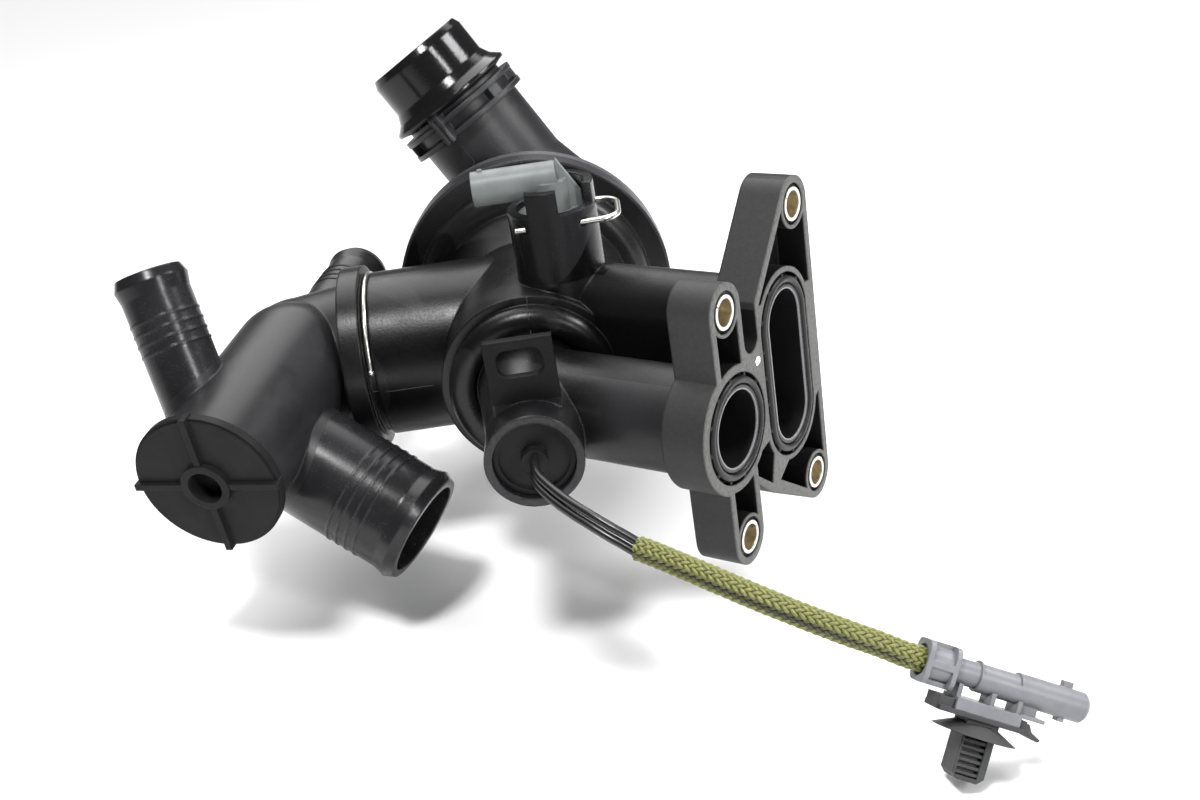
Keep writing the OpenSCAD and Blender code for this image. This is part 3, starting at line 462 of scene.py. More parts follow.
class Paint(Tree):
    """One material with a Principled shader."""

    def __init__(self, name):
        self.material = bpy.data.materials.new(name)
        self.material.use_nodes = True
        tree = self.material.node_tree
        tree.nodes.clear()
        super().__init__(tree.nodes, tree.links)
        self.shader = self.nodes.new("ShaderNodeBsdfPrincipled")
        self.surface = self.nodes.new("ShaderNodeOutputMaterial")
        self.links.new(self.shader.outputs[0], self.surface.inputs["Surface"])
        self.place = self.node("ShaderNodeTexCoord", out=3)

    def set(self, **sockets):
        """Sets or links the shader's sockets, whose names have _ for a space."""
        for name, value in sockets.items():
            plain = isinstance(value, (Value, float))
            self.feed(self.shader.inputs[name.replace("_", " ")], value if plain else (*value, 1.0))
        return self.material

    def deaden(self, share):
        """Mixes in the same finish with no mirror."""
        weak = self.nodes.new("ShaderNodeBsdfPrincipled")
        for name in ("Base Color", "Roughness", "Normal"):
            self.links.new(self.shader.inputs[name].links[0].from_socket, weak.inputs[name])
        weak.inputs["Specular IOR Level"].default_value = NO_MIRROR
        both = self.node(
            "ShaderNodeMixShader", None, {0: share, 1: self.shader.outputs[0], 2: weak.outputs[0]})
        self.links.new(both.socket, self.surface.inputs["Surface"])

    def axes(self, matrix=None):
        """Object coordinates in millimetres, as three values, in the frame of a matrix."""
        parts = self.nodes.new("ShaderNodeSeparateXYZ")
        self.links.new(self.place.socket, parts.inputs[0])
        x, y, z = (Value(self, part) * (1.0 / MM) for part in parts.outputs)
        if matrix is None:
            return x, y, z
        return [x * a + y * b + z * c + d for a, b, c, d in matrix.inverted()[:3]]

    def noise(self, scale, detail=2.0, roughness=0.5):
        return self.node(
            "ShaderNodeTexNoise", {"noise_dimensions": "3D"},
            {"Vector": self.place, "Scale": scale, "Detail": detail, "Roughness": roughness})

    def mix(self, factor, a, b):
        """Colour a where the factor is 0, colour b where it is 1."""
        a, b = (colour if isinstance(colour, Value) else (*colour, 1.0) for colour in (a, b))
        return self.node(
            "ShaderNodeMix", {"data_type": "RGBA", "clamp_factor": True}, {0: factor, 6: a, 7: b}, out=2)

    def rounded(self, radius):
        """Normal with the edges rounded."""
        return self.node("ShaderNodeBevel", {"samples": BEVEL_SAMPLES}, {"Radius": radius})

    def bump(self, height, strength, distance, normal=None):
        sockets = {"Height": height, "Strength": strength, "Distance": distance}
        if normal is not None:
            sockets["Normal"] = normal
        return self.node("ShaderNodeBump", None, sockets)

    def wear(self, rounded):
        """1 on a sharp edge, 0 on a flat face."""
        true_normal = self.node("ShaderNodeNewGeometry", out=1)
        alike = self.node(
            "ShaderNodeVectorMath", {"operation": "DOT_PRODUCT"}, {0: rounded, 1: true_normal}, out=1)
        return (1.0 - alike).step(*WORN_TURN)


def colours():
    return bpy.context.scene.coolant_colours


def dress(material, *nodes):
    """Gives CAD nodes their material."""
    for node in nodes:
        mesh = NODES[node].data
        mesh.materials.clear()
        mesh.materials.append(material)


def moulded(name, colour, roughness, edge_radius=0.9 * MM, grain=0.24):
    """Glass-filled moulding, worn at its edges: the paint with its tone, roughness and normal."""
    paint = Paint(name)
    edge = paint.rounded(edge_radius)
    worn = paint.wear(edge)
    blotch = paint.noise(scale=70.0, detail=3.0, roughness=0.6)
    fleck = paint.noise(scale=1500.0, detail=2.0, roughness=0.55)
    rubbed = paint.noise(scale=260.0).step(0.35, 0.65)
    tone = paint.mix(blotch.step(0.35, 0.7), colour, times(1.45, colour))
    tone = paint.mix(fleck.step(0.6, 0.8) * 0.35, tone, times(3.2, colour))
    tone = paint.mix(worn * rubbed * 0.5, tone, times(4.5, colour))
    rough = roughness + blotch.swing(0.22) + fleck.swing(0.2)
    normal = paint.bump(fleck, grain, 0.12 * MM, edge)
    return paint, tone, rough, normal


def from_ports(y, z):
    """Distances from the middle of the round port and from the middle line of the slot."""
    past_run = ((z - SLOT_PLACE[1]).size() - SLOT_HALF_RUN).larger(0.0)
    return span(y, z), span(y - SLOT_PLACE[0], past_run)


def flange_pockets(x, y, z):
    """1 in the hollows of the flange's ears."""
    rise = (y - SHOULDER[0]) * SHOULDER_IN[0] + (z - SHOULDER[1]) * SHOULDER_IN[1]
    fall = (y - HEEL[0]) * HEEL_IN[0] + (z - HEEL[1]) * HEEL_IN[1]
    rear = y.within(FRONT_HALF_WIDTH, REAR_EDGE) * (rise > FLANGE_WALL) * (fall > FLANGE_WALL)
    front = (y.size() < FRONT_HALF_WIDTH) * (z.size() < FRONT_HALF_HEIGHT)
    return (x < POCKET_START) * rear.larger(front)


def flange_finish(paint, tone, scratch, x, y, z):
    """Grey sides, pockets darkened with painted shade, a worn face with a paint dot, and lips with a painted
    highlight on the bore's edge, as tone and two masks.
    """
    tint = colours()
    from_port, from_slot = from_ports(y, z)
    past_grooves = (from_port > PORT_GROOVE) * (from_slot > SLOT_GROOVE)
    side = x.within(*FLANGE_DEPTH)
    pocket = flange_pockets(x, y, z)
    side_tone = paint.mix(scratch.step(0.2, 0.8), tint.flange_side, times(1.3, tint.flange_side))
    tone = paint.mix(side * (1.0 - pocket), tone, side_tone)
    # Painted shade: the pockets of the ears are darker than the moulding
    tone = paint.mix(pocket, tone, times(0.35, tint.moulding))
    face = x.within(*FACE_DEPTH) * past_grooves
    face_tone = paint.mix(scratch.step(0.35, 0.75), tint.cut_face, times(0.5, tint.cut_face))
    tone = paint.mix(face, tone, face_tone)
    ragged = paint.noise(scale=900.0).swing(PAINT_DOT_RAGGED)
    dot = span(y - PAINT_DOT[0], z - PAINT_DOT[1]) + ragged
    tone = paint.mix(face * (dot < PAINT_DOT_RADIUS), tone, tint.paint)
    lip = (x > LIP_START) * (1.0 - past_grooves)
    # Painted highlight along the bore's edge of each lip
    edge = (from_port < PORT_BORE + LIP_HIGHLIGHT_WIDTH).larger(from_slot < SLOT_BORE + LIP_HIGHLIGHT_WIDTH)
    tone = paint.mix(lip, tone, tint.moulding)
    tone = paint.mix(lip * edge, tone, times(30.0, tint.moulding))
    return tone, side, lip


def housing_finish():
    """Dull ducts, a grey flange, a glossy sensor socket, scuffed rims and a dead window plate."""
    black = colours().moulding
    paint, tone, rough, normal = moulded("moulded_housing", black, 0.33)
    scratch = paint.noise(scale=900.0, detail=4.0, roughness=0.65)
    x, y, z = paint.axes()
    u, v, w = paint.axes(body_matrix())
    boss = (1.0 - u.size().step(BOSS_RADIUS, BOSS_FADE)) * (v < BOSS_ROOT)
    ducts = x.step(*DUCT_START) * (1.0 - boss)
    tone = paint.mix(ducts, tone, times(2.4, black))
    tone, side, lip = flange_finish(paint, tone, scratch, x, y, z)
    along = v - SENSOR_PLACE[1]
    socket = (span(u - SENSOR_PLACE[0], along) < SOCKET_REACH) * (w > SOCKET_FOOT)
    rough = rough + ducts * DULL_ROUGHER + side * DULL_ROUGHER - lip * LIP_SMOOTHER - socket * SOCKET_SMOOTHER
    spread = span(u, w)
    joint = (spread > JOINT_RADIUS) * v.within(*JOINT_DEPTH)
    tone = paint.mix(joint * scratch.step(-0.1, 0.7) * 0.7, tone, times(7.0, black))
    rim = (v < BOSS_RIM) * (spread < BOSS_RADIUS)
    tone = paint.mix(rim * scratch.step(0.3, 0.7) * 0.5, tone, times(5.0, black))
    paint.set(Base_Color=tone, Roughness=rough, Normal=normal, Specular_IOR_Level=DULL)
    plate = v.within(*PLATE_DEPTH) * (w > PLATE_FOOT) * (u.size() < PLATE_HALF_WIDTH)
    socket_front = socket * (1.0 - along.step(*SOCKET_FRONT))
    paint.deaden((plate + socket_front) * DEAD_SHARE)
    return paint.material


def cover_finish():
    """Satin cover with a pale scuffed rim that also carries a painted sheen, and a glossy spigot."""
    black = colours().moulding
    paint, tone, rough, normal = moulded("moulded_cover", times(2.2, black), 0.4)
    u, v, w = paint.axes(body_matrix())
    scratch = paint.noise(scale=700.0, detail=3.0, roughness=0.6)
    # The rim's pale band is partly scuffs and partly a painted sheen of the light from above
    rim = (span(u, w) > COVER_RIM_RADIUS) * (v < COVER_RIM_END)
    tone = paint.mix(rim * scratch.step(-0.2, 0.7) * 0.8, tone, times(15.0, black))
    spigot = paint.axes(neck_matrix())[2].step(*SPIGOT_START)
    tone = paint.mix(spigot, tone, black)
    return paint.set(
        Base_Color=tone, Roughness=rough - spigot * SPIGOT_SMOOTHER, Normal=normal, Specular_IOR_Level=DULL)


def distributor_finish():
    """Satin tube with glossier nipples."""
    satin = times(1.7, colours().moulding)
    paint, tone, rough, normal = moulded("moulded_distributor", satin, 0.38, grain=0.1)
    a, b, _ = paint.axes(tube_matrix())
    nipples = span(a, b) > TUBE_RADIUS
    return paint.set(
        Base_Color=tone, Roughness=rough - nipples * NIPPLE_SMOOTHER, Normal=normal, Specular_IOR_Level=DULL)


def plain_moulding(name, colour, roughness, grain=0.1, edge_radius=0.4 * MM, gloss=DULL):
    """Plain moulding with faint blotches and a fine grain."""
    paint = Paint(name)
    edge = paint.rounded(edge_radius)
    blotch = paint.noise(scale=160.0, detail=3.0, roughness=0.6)
    fleck = paint.noise(scale=2200.0)
    tone = paint.mix(blotch.step(0.3, 0.75), colour, times(0.8, colour))
    return paint.set(
        Base_Color=tone, Roughness=roughness + blotch.swing(0.15), Specular_IOR_Level=gloss,
        Normal=paint.bump(fleck, grain, 0.08 * MM, edge))


def rubber_finish(name):
    """Black rubber with a little dust."""
    paint = Paint(name)
    grain = paint.noise(scale=1800.0, detail=3.0, roughness=0.6)
    dust = paint.noise(scale=240.0, detail=4.0, roughness=0.65)
    base = colours().rubber
    tone = paint.mix(dust.step(0.5, 0.8) * 0.6, base, times(3.0, base))
    return paint.set(
        Base_Color=tone, Roughness=0.42 + dust.swing(0.3), Specular_IOR_Level=DULL,
        Normal=paint.bump(grain, 0.15, 0.05 * MM, paint.rounded(0.5 * MM)))


def metal_finish(name, colour, roughness, grit=1.0):
    """Clouded metal with a fine grit."""
    paint = Paint(name)
    speck = paint.noise(scale=1400.0, detail=3.0, roughness=0.6)
    cloud = paint.noise(scale=180.0, detail=3.0, roughness=0.6)
    tone = paint.mix(cloud.step(0.35, 0.75), colour, times(0.72, colour))
    return paint.set(
        Base_Color=tone, Metallic=1.0, Roughness=roughness + speck.swing(0.25 * grit),
        Normal=paint.bump(speck, 0.08 * grit, 0.03 * MM, paint.rounded(0.2 * MM)))


def wire_metal(name):
    """Smooth drawn steel wire."""
    return metal_finish(name, colours().steel, 0.3, grit=0.1)


def bushing_finish():
    """Bright ends, brown-gold coat inside."""
    tint = colours()
    paint = Paint("bushing_finish")
    cloud = paint.noise(scale=500.0, detail=3.0, roughness=0.6)
    tone = paint.mix(cloud.step(0.35, 0.7), tint.bushing, times(0.62, tint.bushing))
    tone = paint.mix(paint.axes()[0] > BUSHING_END, tone, tint.steel)
    return paint.set(
        Base_Color=tone, Metallic=1.0, Roughness=0.42 + cloud.swing(0.3), Normal=paint.rounded(0.3 * MM))


def braid_finish(name, base):
    """Woven yarn with painted shade where it dips and along the crease, by the height that its mesh carries.
    """
    paint = Paint(name)
    yarn = paint.noise(scale=2600.0, detail=2.0, roughness=0.6)
    patch = paint.noise(scale=300.0, detail=3.0, roughness=0.6)
    height = paint.node("ShaderNodeAttribute", {"attribute_name": "height"}, out=2)
    tone = paint.mix(yarn.step(0.3, 0.75), times(0.75, base), times(1.5, base))
    tone = paint.mix(patch.step(0.55, 0.8) * 0.4, tone, times(1.8, base))
    # Painted shade where the strands dip and along the crease
    tone = paint.mix(height.step(-0.6, 1.0), times(0.05, base), tone)
    return paint.set(
        Base_Color=tone, Roughness=0.55 + yarn.swing(0.2), Normal=paint.bump(yarn, 0.3, 0.06 * MM))


def wire_cover_finish():
    """Smooth black insulation."""
    paint = Paint("wire_cover_finish")
    cloud = paint.noise(scale=400.0)
    return paint.set(Base_Color=colours().wire, Roughness=0.3 + cloud.swing(0.15))


def smooth_route(points, per_span=8):
    """Points in metres along a smooth curve through given points in millimetres."""
    route = [Vector(p) * MM for p in points]
    ends = [2 * route[0] - route[1], *route, 2 * route[-1] - route[-2]]
    out = []
    for i in range(1, len(ends) - 2):
        a, b, c, d = ends[i - 1:i + 3]
        for k in range(per_span):
            t = k / per_span
            out.append(0.5 * (2 * b + (c - a) * t + (2 * a - 5 * b + 4 * c - d) * t * t
                              + (3 * b - a - 3 * c + d) * t * t * t))
    out.append(route[-1])
    return out


def beside(points, shift):
    """The route moved sideways, up in the picture, by shift."""
    out = []
    for i, point in enumerate(points):
        along = (points[min(i + 1, len(points) - 1)] - points[max(i - 1, 0)]).normalized()
        up = (PICTURE_UP - PICTURE_UP.dot(along) * along).normalized()
        out.append(point + shift * up)
    return out


def route_length(points):
    return sum((b - a).length for a, b in zip(points, points[1:]))


def curve_object(name, points, depth=0.0):
    """A curve through points in metres, as a round tube if it has a depth."""
    data = bpy.data.curves.new(name, "CURVE")
    data.dimensions = "3D"
    data.bevel_depth = depth
    data.bevel_resolution = 4
    data.use_fill_caps = True
    line = data.splines.new("POLY")
    line.points.add(len(points) - 1)
    for spot, point in zip(line.points, points):
        spot.co = (*point, 1.0)
    made = bpy.data.objects.new(name, data)
    bpy.context.scene.collection.objects.link(made)
    return made


def landed(node, start, aim):
    """Where a ray, given in millimetres, meets a CAD node, in metres."""
    thing = NODES[node]
    into = thing.matrix_world.inverted()
    hit, spot, _, _ = thing.ray_cast(into @ (Vector(start) * MM), (into.to_3x3() @ Vector(aim)).normalized())
    return thing.matrix_world @ spot if hit else None


def parting_line(name, node, rays, radius, material):
    """A thin moulding ridge where a row of rays meets a CAD node."""
    points = [landed(node, start, aim) for start, aim in rays]
    ridge = curve_object(name, [point for point in points if point is not None], radius * MM)
    ridge.data.materials.append(material)
    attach(ridge, HOUSING_BODY)


def branch_rays():
    """Rays from the front at the branch, along its length."""
    body = body_matrix()
    slope = math.radians(BRANCH_LINE_SLOPE)
    aim = body.to_3x3() @ Vector((0, math.sin(slope), -math.cos(slope)))
    return [(body @ Vector((u, 0, 0)) - RAY_RUN_UP * aim, aim) for u in BRANCH_LINE]


def chamber_rays():
    """Rays from above at the front of the chamber."""
    u, v, w = CHAMBER_LINE_PLACE
    starts = [(u, v + CHAMBER_LINE_STEP * k, w) for k in range(CHAMBER_LINE_STEPS)]
    return [(body_matrix() @ Vector(start), Vector((0, 0, -1))) for start in starts]


def neck_rays():
    """Rays at the hose neck from the side of its key."""
    neck = neck_matrix()
    way = math.radians(KEY_TURN)
    aim = neck.to_3x3() @ Vector((-math.cos(way), -math.sin(way), 0))
    return [(neck @ Vector((0, 0, t)) - RAY_RUN_UP * aim, aim) for t in NECK_LINE]


class Growth(Tree):
    """A geometry tree with named inputs."""

    def __init__(self, name, inputs):
        self.group = bpy.data.node_groups.new(name, "GeometryNodeTree")
        super().__init__(self.group.nodes, self.group.links)
        face = self.group.interface
        face.new_socket("Geometry", in_out="INPUT", socket_type="NodeSocketGeometry")
        self.ids = {}
        for label, kind in inputs:
            made = face.new_socket(label, in_out="INPUT", socket_type=kind)
            self.ids[label] = made.identifier
        face.new_socket("Geometry", in_out="OUTPUT", socket_type="NodeSocketGeometry")
        self.start = self.nodes.new("NodeGroupInput")
        self.end = self.nodes.new("NodeGroupOutput")

    def given(self, label):
        return Value(self, self.start.outputs[label])

    def vector(self, operation, sockets, out=0):
        return self.node("ShaderNodeVectorMath", {"operation": operation}, sockets, out)

    def stored(self, geometry, kind, name, value):
        """Keeps a value on the geometry's points under a name."""
        return self.node("GeometryNodeStoreNamedAttribute", {"data_type": kind, "domain": "POINT"},
                         {"Geometry": geometry, "Name": name, "Value": value})

    def kept(self, kind, name):
        """The value that was stored under a name."""
        return self.node("GeometryNodeInputNamedAttribute", {"data_type": kind}, {"Name": name})

    def joined(self, parts):
        both = self.nodes.new("GeometryNodeJoinGeometry")
        for part in parts:
            self.links.new(part.socket, both.inputs[0])
        return Value(self, both.outputs[0])

    def realized(self, geometry):
        """Smooth geometry with no instances."""
        real = self.node("GeometryNodeRealizeInstances", None, {"Geometry": geometry})
        return self.node("GeometryNodeSetShadeSmooth", None, {"Geometry": real})

    def painted(self, geometry, finish, **chosen):
        """Geometry with an input's material, on chosen faces if they are given."""
        return self.node("GeometryNodeSetMaterial", None,
                         {"Geometry": geometry, "Material": self.given(finish), **chosen})

    def close(self, geometry):
        self.links.new(geometry.socket, self.end.inputs[0])


def baked(source, growth, values, name):
    """Grows the tree on an object and keeps the result as a plain mesh."""
    grower = source.modifiers.new("growth", "NODES")
    grower.node_group = growth.group
    for label, value in values.items():
        grower[growth.ids[label]] = value
    bpy.context.view_layer.update()
    graph = bpy.context.evaluated_depsgraph_get()
    mesh = bpy.data.meshes.new_from_object(source.evaluated_get(graph), depsgraph=graph)
    mesh.name = name
    source.modifiers.remove(grower)
    bpy.data.objects.remove(source)
    made = bpy.data.objects.new(name, mesh)
    bpy.context.scene.collection.objects.link(made)
    return made


def wound_strands(growth, line, way):
    """Strands that wind one way round a route, over two and under two, as round yarns."""
    node = growth.node
    normal = node("GeometryNodeInputNormal")
    ring = node("GeometryNodeCurvePrimitiveCircle", None,
                {"Resolution": growth.given("Strands"), "Radius": growth.given("Radius")})
    ring = growth.stored(ring, "INT", "strand", node("GeometryNodeInputIndex"))
    yarn = node("GeometryNodeCurvePrimitiveCircle", None,
                {"Resolution": YARN_SIDES, "Radius": growth.given("Strand radius")})
    tilt = node("GeometryNodeSplineParameter") * growth.given("Turns") * (way * math.tau)
    wound = node("GeometryNodeSetCurveTilt", None, {"Curve": line, "Tilt": tilt})
    tube = node("GeometryNodeCurveToMesh", None, {"Curve": wound, "Profile Curve": ring})
    strand = growth.kept("INT", "strand")
    crossings = growth.kept("FLOAT", "along") * growth.given("Turns") * growth.given("Strands")
    wave = ((crossings * way + strand) * math.pi - math.pi / 4).sum("COSINE") * way
    fold = growth.vector("DOT_PRODUCT", {0: normal, 1: CREASE_AIM}, out=1).step(*CREASE_EDGE)
    # The stored height falls where a strand dips and along the crease, and sets the painted shade there
    tube = growth.stored(tube, "FLOAT", "height", wave - fold * CREASE_SHADE)
    rise = wave * growth.given("Weave") - fold * growth.given("Crease")
    shift = growth.vector("SCALE", {0: normal, "Scale": rise})
    tube = node("GeometryNodeSetPosition", None, {"Geometry": tube, "Offset": shift})
    ends = growth.nodes.new("GeometryNodeInputMeshEdgeVertices")
    first, last = (
        node("GeometryNodeFieldAtIndex", {"data_type": "INT", "domain": "POINT"},
             {"Value": strand, "Index": ends.outputs[end]})
        for end in (0, 1))
    same = node("FunctionNodeCompare", {"data_type": "INT", "operation": "EQUAL"}, {"A": first, "B": last})
    lines = node("GeometryNodeMeshToCurve", None, {"Mesh": tube, "Selection": same})
    return node("GeometryNodeCurveToMesh", None, {"Curve": lines, "Profile Curve": yarn, "Fill Caps": True})


def braid_growth():
    """Strands that wind both ways round a route, on a core painted dark as shade in the gaps."""
    growth = Growth("braid", [
        ("Strands", "NodeSocketInt"), ("Radius", "NodeSocketFloat"), ("Turns", "NodeSocketFloat"),
        ("Strand radius", "NodeSocketFloat"), ("Weave", "NodeSocketFloat"), ("Crease", "NodeSocketFloat"),
        ("Finish", "NodeSocketMaterial"), ("Core shade finish", "NodeSocketMaterial")])
    node = growth.node
    line = node("GeometryNodeResampleCurve", None,
                {"Curve": growth.given("Geometry"), "Count": SLEEVE_POINTS})
    line = growth.stored(line, "FLOAT", "along", node("GeometryNodeSplineParameter"))
    sunk = growth.given("Strand radius") * CORE_UNDER_STRAND + growth.given("Crease") * CORE_UNDER_CREASE
    section = node("GeometryNodeCurvePrimitiveCircle", None,
                   {"Resolution": CORE_SIDES, "Radius": growth.given("Radius") - sunk})
    core = node("GeometryNodeCurveToMesh", None, {"Curve": line, "Profile Curve": section, "Fill Caps": True})
    core = growth.stored(core, "BOOLEAN", "core", True)
    strands = growth.joined([wound_strands(growth, line, way) for way in (1.0, -1.0)])
    whole = growth.painted(growth.realized(growth.joined([core, strands])), "Finish")
    growth.close(growth.painted(whole, "Core shade finish", Selection=growth.kept("BOOLEAN", "core")))
    return growth


def seal_growth():
    """A rounded bead along a closed rail, with nubs on its outer flank."""
    growth = Growth("seal", [
        ("Width", "NodeSocketFloat"), ("Height", "NodeSocketFloat"), ("Nubs", "NodeSocketInt"),
        ("Nub radius", "NodeSocketFloat"), ("Finish", "NodeSocketMaterial")])
    node = growth.node
    rail = growth.given("Geometry")
    out_of_face = (1.0, 0.0, 0.0)
    line = node("GeometryNodeResampleCurve", None, {"Curve": rail, "Count": SEAL_POINTS})
    line = node("GeometryNodeSetCurveNormal", {"mode": "FREE"}, {"Curve": line, "Normal": out_of_face})
    section = node("GeometryNodeCurvePrimitiveQuadrilateral", None,
                   {"Width": growth.given("Height"), "Height": growth.given("Width")})
    section = node("GeometryNodeFilletCurve", {"mode": "POLY"},
                   {"Curve": section, "Radius": growth.given("Width") * CORNER_SHARE, "Count": CORNER_POINTS})
    bead = node("GeometryNodeCurveToMesh", None, {"Curve": line, "Profile Curve": section})
    spots = node("GeometryNodeResampleCurve", None, {"Curve": rail, "Count": growth.given("Nubs")})
    outward = growth.vector("CROSS_PRODUCT", {0: node("GeometryNodeInputTangent"), 1: out_of_face})
    reach = growth.vector("SCALE", {0: outward, "Scale": growth.given("Width") * NUB_REACH_SHARE})
    lift = node("ShaderNodeCombineXYZ", None, {"X": growth.given("Height") * NUB_LIFT_SHARE})
    shift = growth.vector("ADD", {0: reach, 1: lift})
    spots = node("GeometryNodeSetPosition", None, {"Geometry": spots, "Offset": shift})
    ball = node("GeometryNodeMeshIcoSphere", None,
                {"Radius": growth.given("Nub radius"), "Subdivisions": NUB_ROUNDS})
    nubs = node("GeometryNodeInstanceOnPoints", None, {"Points": spots, "Instance": ball})
    growth.close(growth.painted(growth.realized(growth.joined([nubs, bead])), "Finish"))
    return growth


def seal_rail(radius, centre, half_run, level, per_end=24):
    """Points in metres round a slot on the flange face, or round a circle if the run is 0."""
    points = []
    for k in range(2 * per_end):
        turn = math.tau * (k + 0.5) / (2 * per_end)
        shift = half_run if k < per_end else -half_run
        y = centre[0] + radius * math.cos(turn)
        z = centre[1] + shift + radius * math.sin(turn)
        points.append(Vector((level, y, z)) * MM)
    return points


class COOLANT_OT_camera(bpy.types.Operator):
    """Sets the camera where the photograph was taken from."""

    bl_idname = "coolant.camera"
    bl_label = "Camera"

    def execute(self, context):
        right = Vector(CAMERA_RIGHT).normalized()
        up = Vector(CAMERA_UP)
        up = (up - up.dot(right) * right).normalized()
        turn = Matrix((right, up, right.cross(up))).transposed().to_4x4()
        data = bpy.data.cameras.new("studio_camera")
        data.lens = FOCAL_LENGTH
        data.sensor_width = SENSOR_WIDTH
        data.clip_start = NEAR_CLIP
        camera = bpy.data.objects.new("studio_camera", data)
        camera.matrix_world = Matrix.Translation(Vector(CAMERA_PLACE) * MM) @ turn
        context.scene.collection.objects.link(camera)
        context.scene.camera = camera
        return {"FINISHED"}


class COOLANT_OT_lead(bpy.types.Operator):
    """Makes the two wires and the braided sleeve of the heater lead."""

    bl_idname = "coolant.lead"
    bl_label = "Heater lead"

    def execute(self, context):
        lead = context.scene.coolant_lead
        shift = lead.wire_diameter / 2 + lead.wire_gap / 2
        finish = wire_cover_finish()
        for name, way in (("heater_wire_a", 1), ("heater_wire_b", -1)):
            points = beside(smooth_route(WIRE_ROUTE), way * shift)
            wire = curve_object(name + "_cover", points, lead.wire_diameter / 2)
            wire.data.materials.append(finish)
            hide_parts(name)
            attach(wire, HOUSING_BODY)
            route_length(points)
        points = smooth_route(SLEEVE_ROUTE)
        rail = curve_object("sleeve_rail", points)
        weave = lead.weave_height + lead.strand_radius
        braid = colours().braid
        sleeve = baked(rail, braid_growth(), {
            "Strands": lead.strands, "Radius": lead.sleeve_diameter / 2 - weave, "Turns": lead.turns,
            "Strand radius": lead.strand_radius, "Weave": lead.weave_height, "Crease": lead.crease_depth,
            "Finish": braid_finish("sleeve_braid_finish", braid),
            # The core is painted dark as shade in the gaps between the strands
            "Core shade finish": braid_finish("sleeve_core_shade_finish", times(0.12, braid)),
        }, "sleeve_braid")
        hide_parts("braided_sleeve")
        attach(sleeve, HOUSING_BODY)
        route_length(points)
        return {"FINISHED"}


class COOLANT_OT_face_seals(bpy.types.Operator):
    """Makes the two rubber seals of the flange face."""

    bl_idname = "coolant.face_seals"
    bl_label = "Face seals"

    def execute(self, context):
        seal = context.scene.coolant_seals
        finish = rubber_finish("face_seal_finish")
        level = (seal.proud - seal.height / 2) / MM
        from_bore = SEAL_LIP + SEAL_GAP + seal.width / 2 / MM
        growth = seal_growth()
        for node, centre, bore, half_run, nubs in (
                ("port_seal", PORT_PLACE, PORT_BORE, 0.0, seal.port_nubs),
                ("slot_seal", SLOT_PLACE, SLOT_BORE, SLOT_HALF_RUN, seal.slot_nubs)):
            rail = curve_object(node + "_rail", seal_rail(bore + from_bore, centre, half_run, level))
            rail.data.splines[0].use_cyclic_u = True
            bead = baked(rail, growth, {
                "Width": seal.width, "Height": seal.height, "Nubs": nubs, "Nub radius": seal.nub_radius,
                "Finish": finish}, node + "_bead")
            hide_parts(node)
            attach(bead, HOUSING_BODY)
        return {"FINISHED"}


class COOLANT_OT_mouldings(bpy.types.Operator):
    """Finishes the housing, the cover, the distributor with its cap and the heater plug."""

    bl_idname = "coolant.mouldings"
    bl_label = "Mouldings"

    def execute(self, context):
        small = colours().small_moulding
        dress(housing_finish(), "housing")
        dress(cover_finish(), "outlet_cover")
        dress(distributor_finish(), "distributor")
        dress(plain_moulding("cap_moulding", small, 0.5, grain=0.2, gloss=DEAD), "distributor_cap")
        dress(plain_moulding("plug_moulding", small, 0.4, gloss=DEAD), "heater_plug")
        return {"FINISHED"}


class COOLANT_OT_parting_lines(bpy.types.Operator):
    """Adds the thin ridges where the moulds met."""

    bl_idname = "coolant.parting_lines"
    bl_label = "Parting lines"

    def execute(self, context):
        # The ridges are painted paler than the moulding, as a painted highlight along them
        finish = plain_moulding(
            "parting_line_highlight_moulding", times(3.0, colours().moulding), 0.4, edge_radius=0.05 * MM)
        parting_line("branch_line", "housing", branch_rays(), BRANCH_RIDGE, finish)
        parting_line("chamber_line", "housing", chamber_rays(), CHAMBER_RIDGE, finish)
        parting_line("neck_line", "outlet_cover", neck_rays(), NECK_RIDGE, finish)
        return {"FINISHED"}


class COOLANT_OT_small_mouldings(bpy.types.Operator):
    """Finishes the sensor, the connector and the mounting clip."""

    bl_idname = "coolant.small_mouldings"
    bl_label = "Sensor and connector"

    def execute(self, context):
        tint = colours()
        dress(plain_moulding("sensor_moulding", tint.sensor, 0.42), "sensor_body")
        dress(plain_moulding("connector_moulding", tint.connector, 0.4), "lead_connector")
        dress(plain_moulding("clip_moulding", tint.clip, 0.55), "lead_clip")
        return {"FINISHED"}


class COOLANT_OT_metal(bpy.types.Operator):
    """Finishes the bushings, clips, the bypass spring and the metal pieces of the valve."""

    bl_idname = "coolant.metal"
    bl_label = "Metal"

    def execute(self, context):
        tint = colours()
        dress(wire_metal("drawn_wire"), "distributor_clip", "sensor_clip", "bypass_spring", "bypass_ring")
        dress(metal_finish("pressed_sheet", tint.steel, 0.34),
              "guide_pin", "main_valve", "valve_bridge", "bypass_valve", "sensor_pins", "lead_pins")
        dress(metal_finish("turned_brass", tint.brass, 0.3), "wax_capsule", "sensor_probe")
        dress(bushing_finish(), "bolt_bushings")
        return {"FINISHED"}


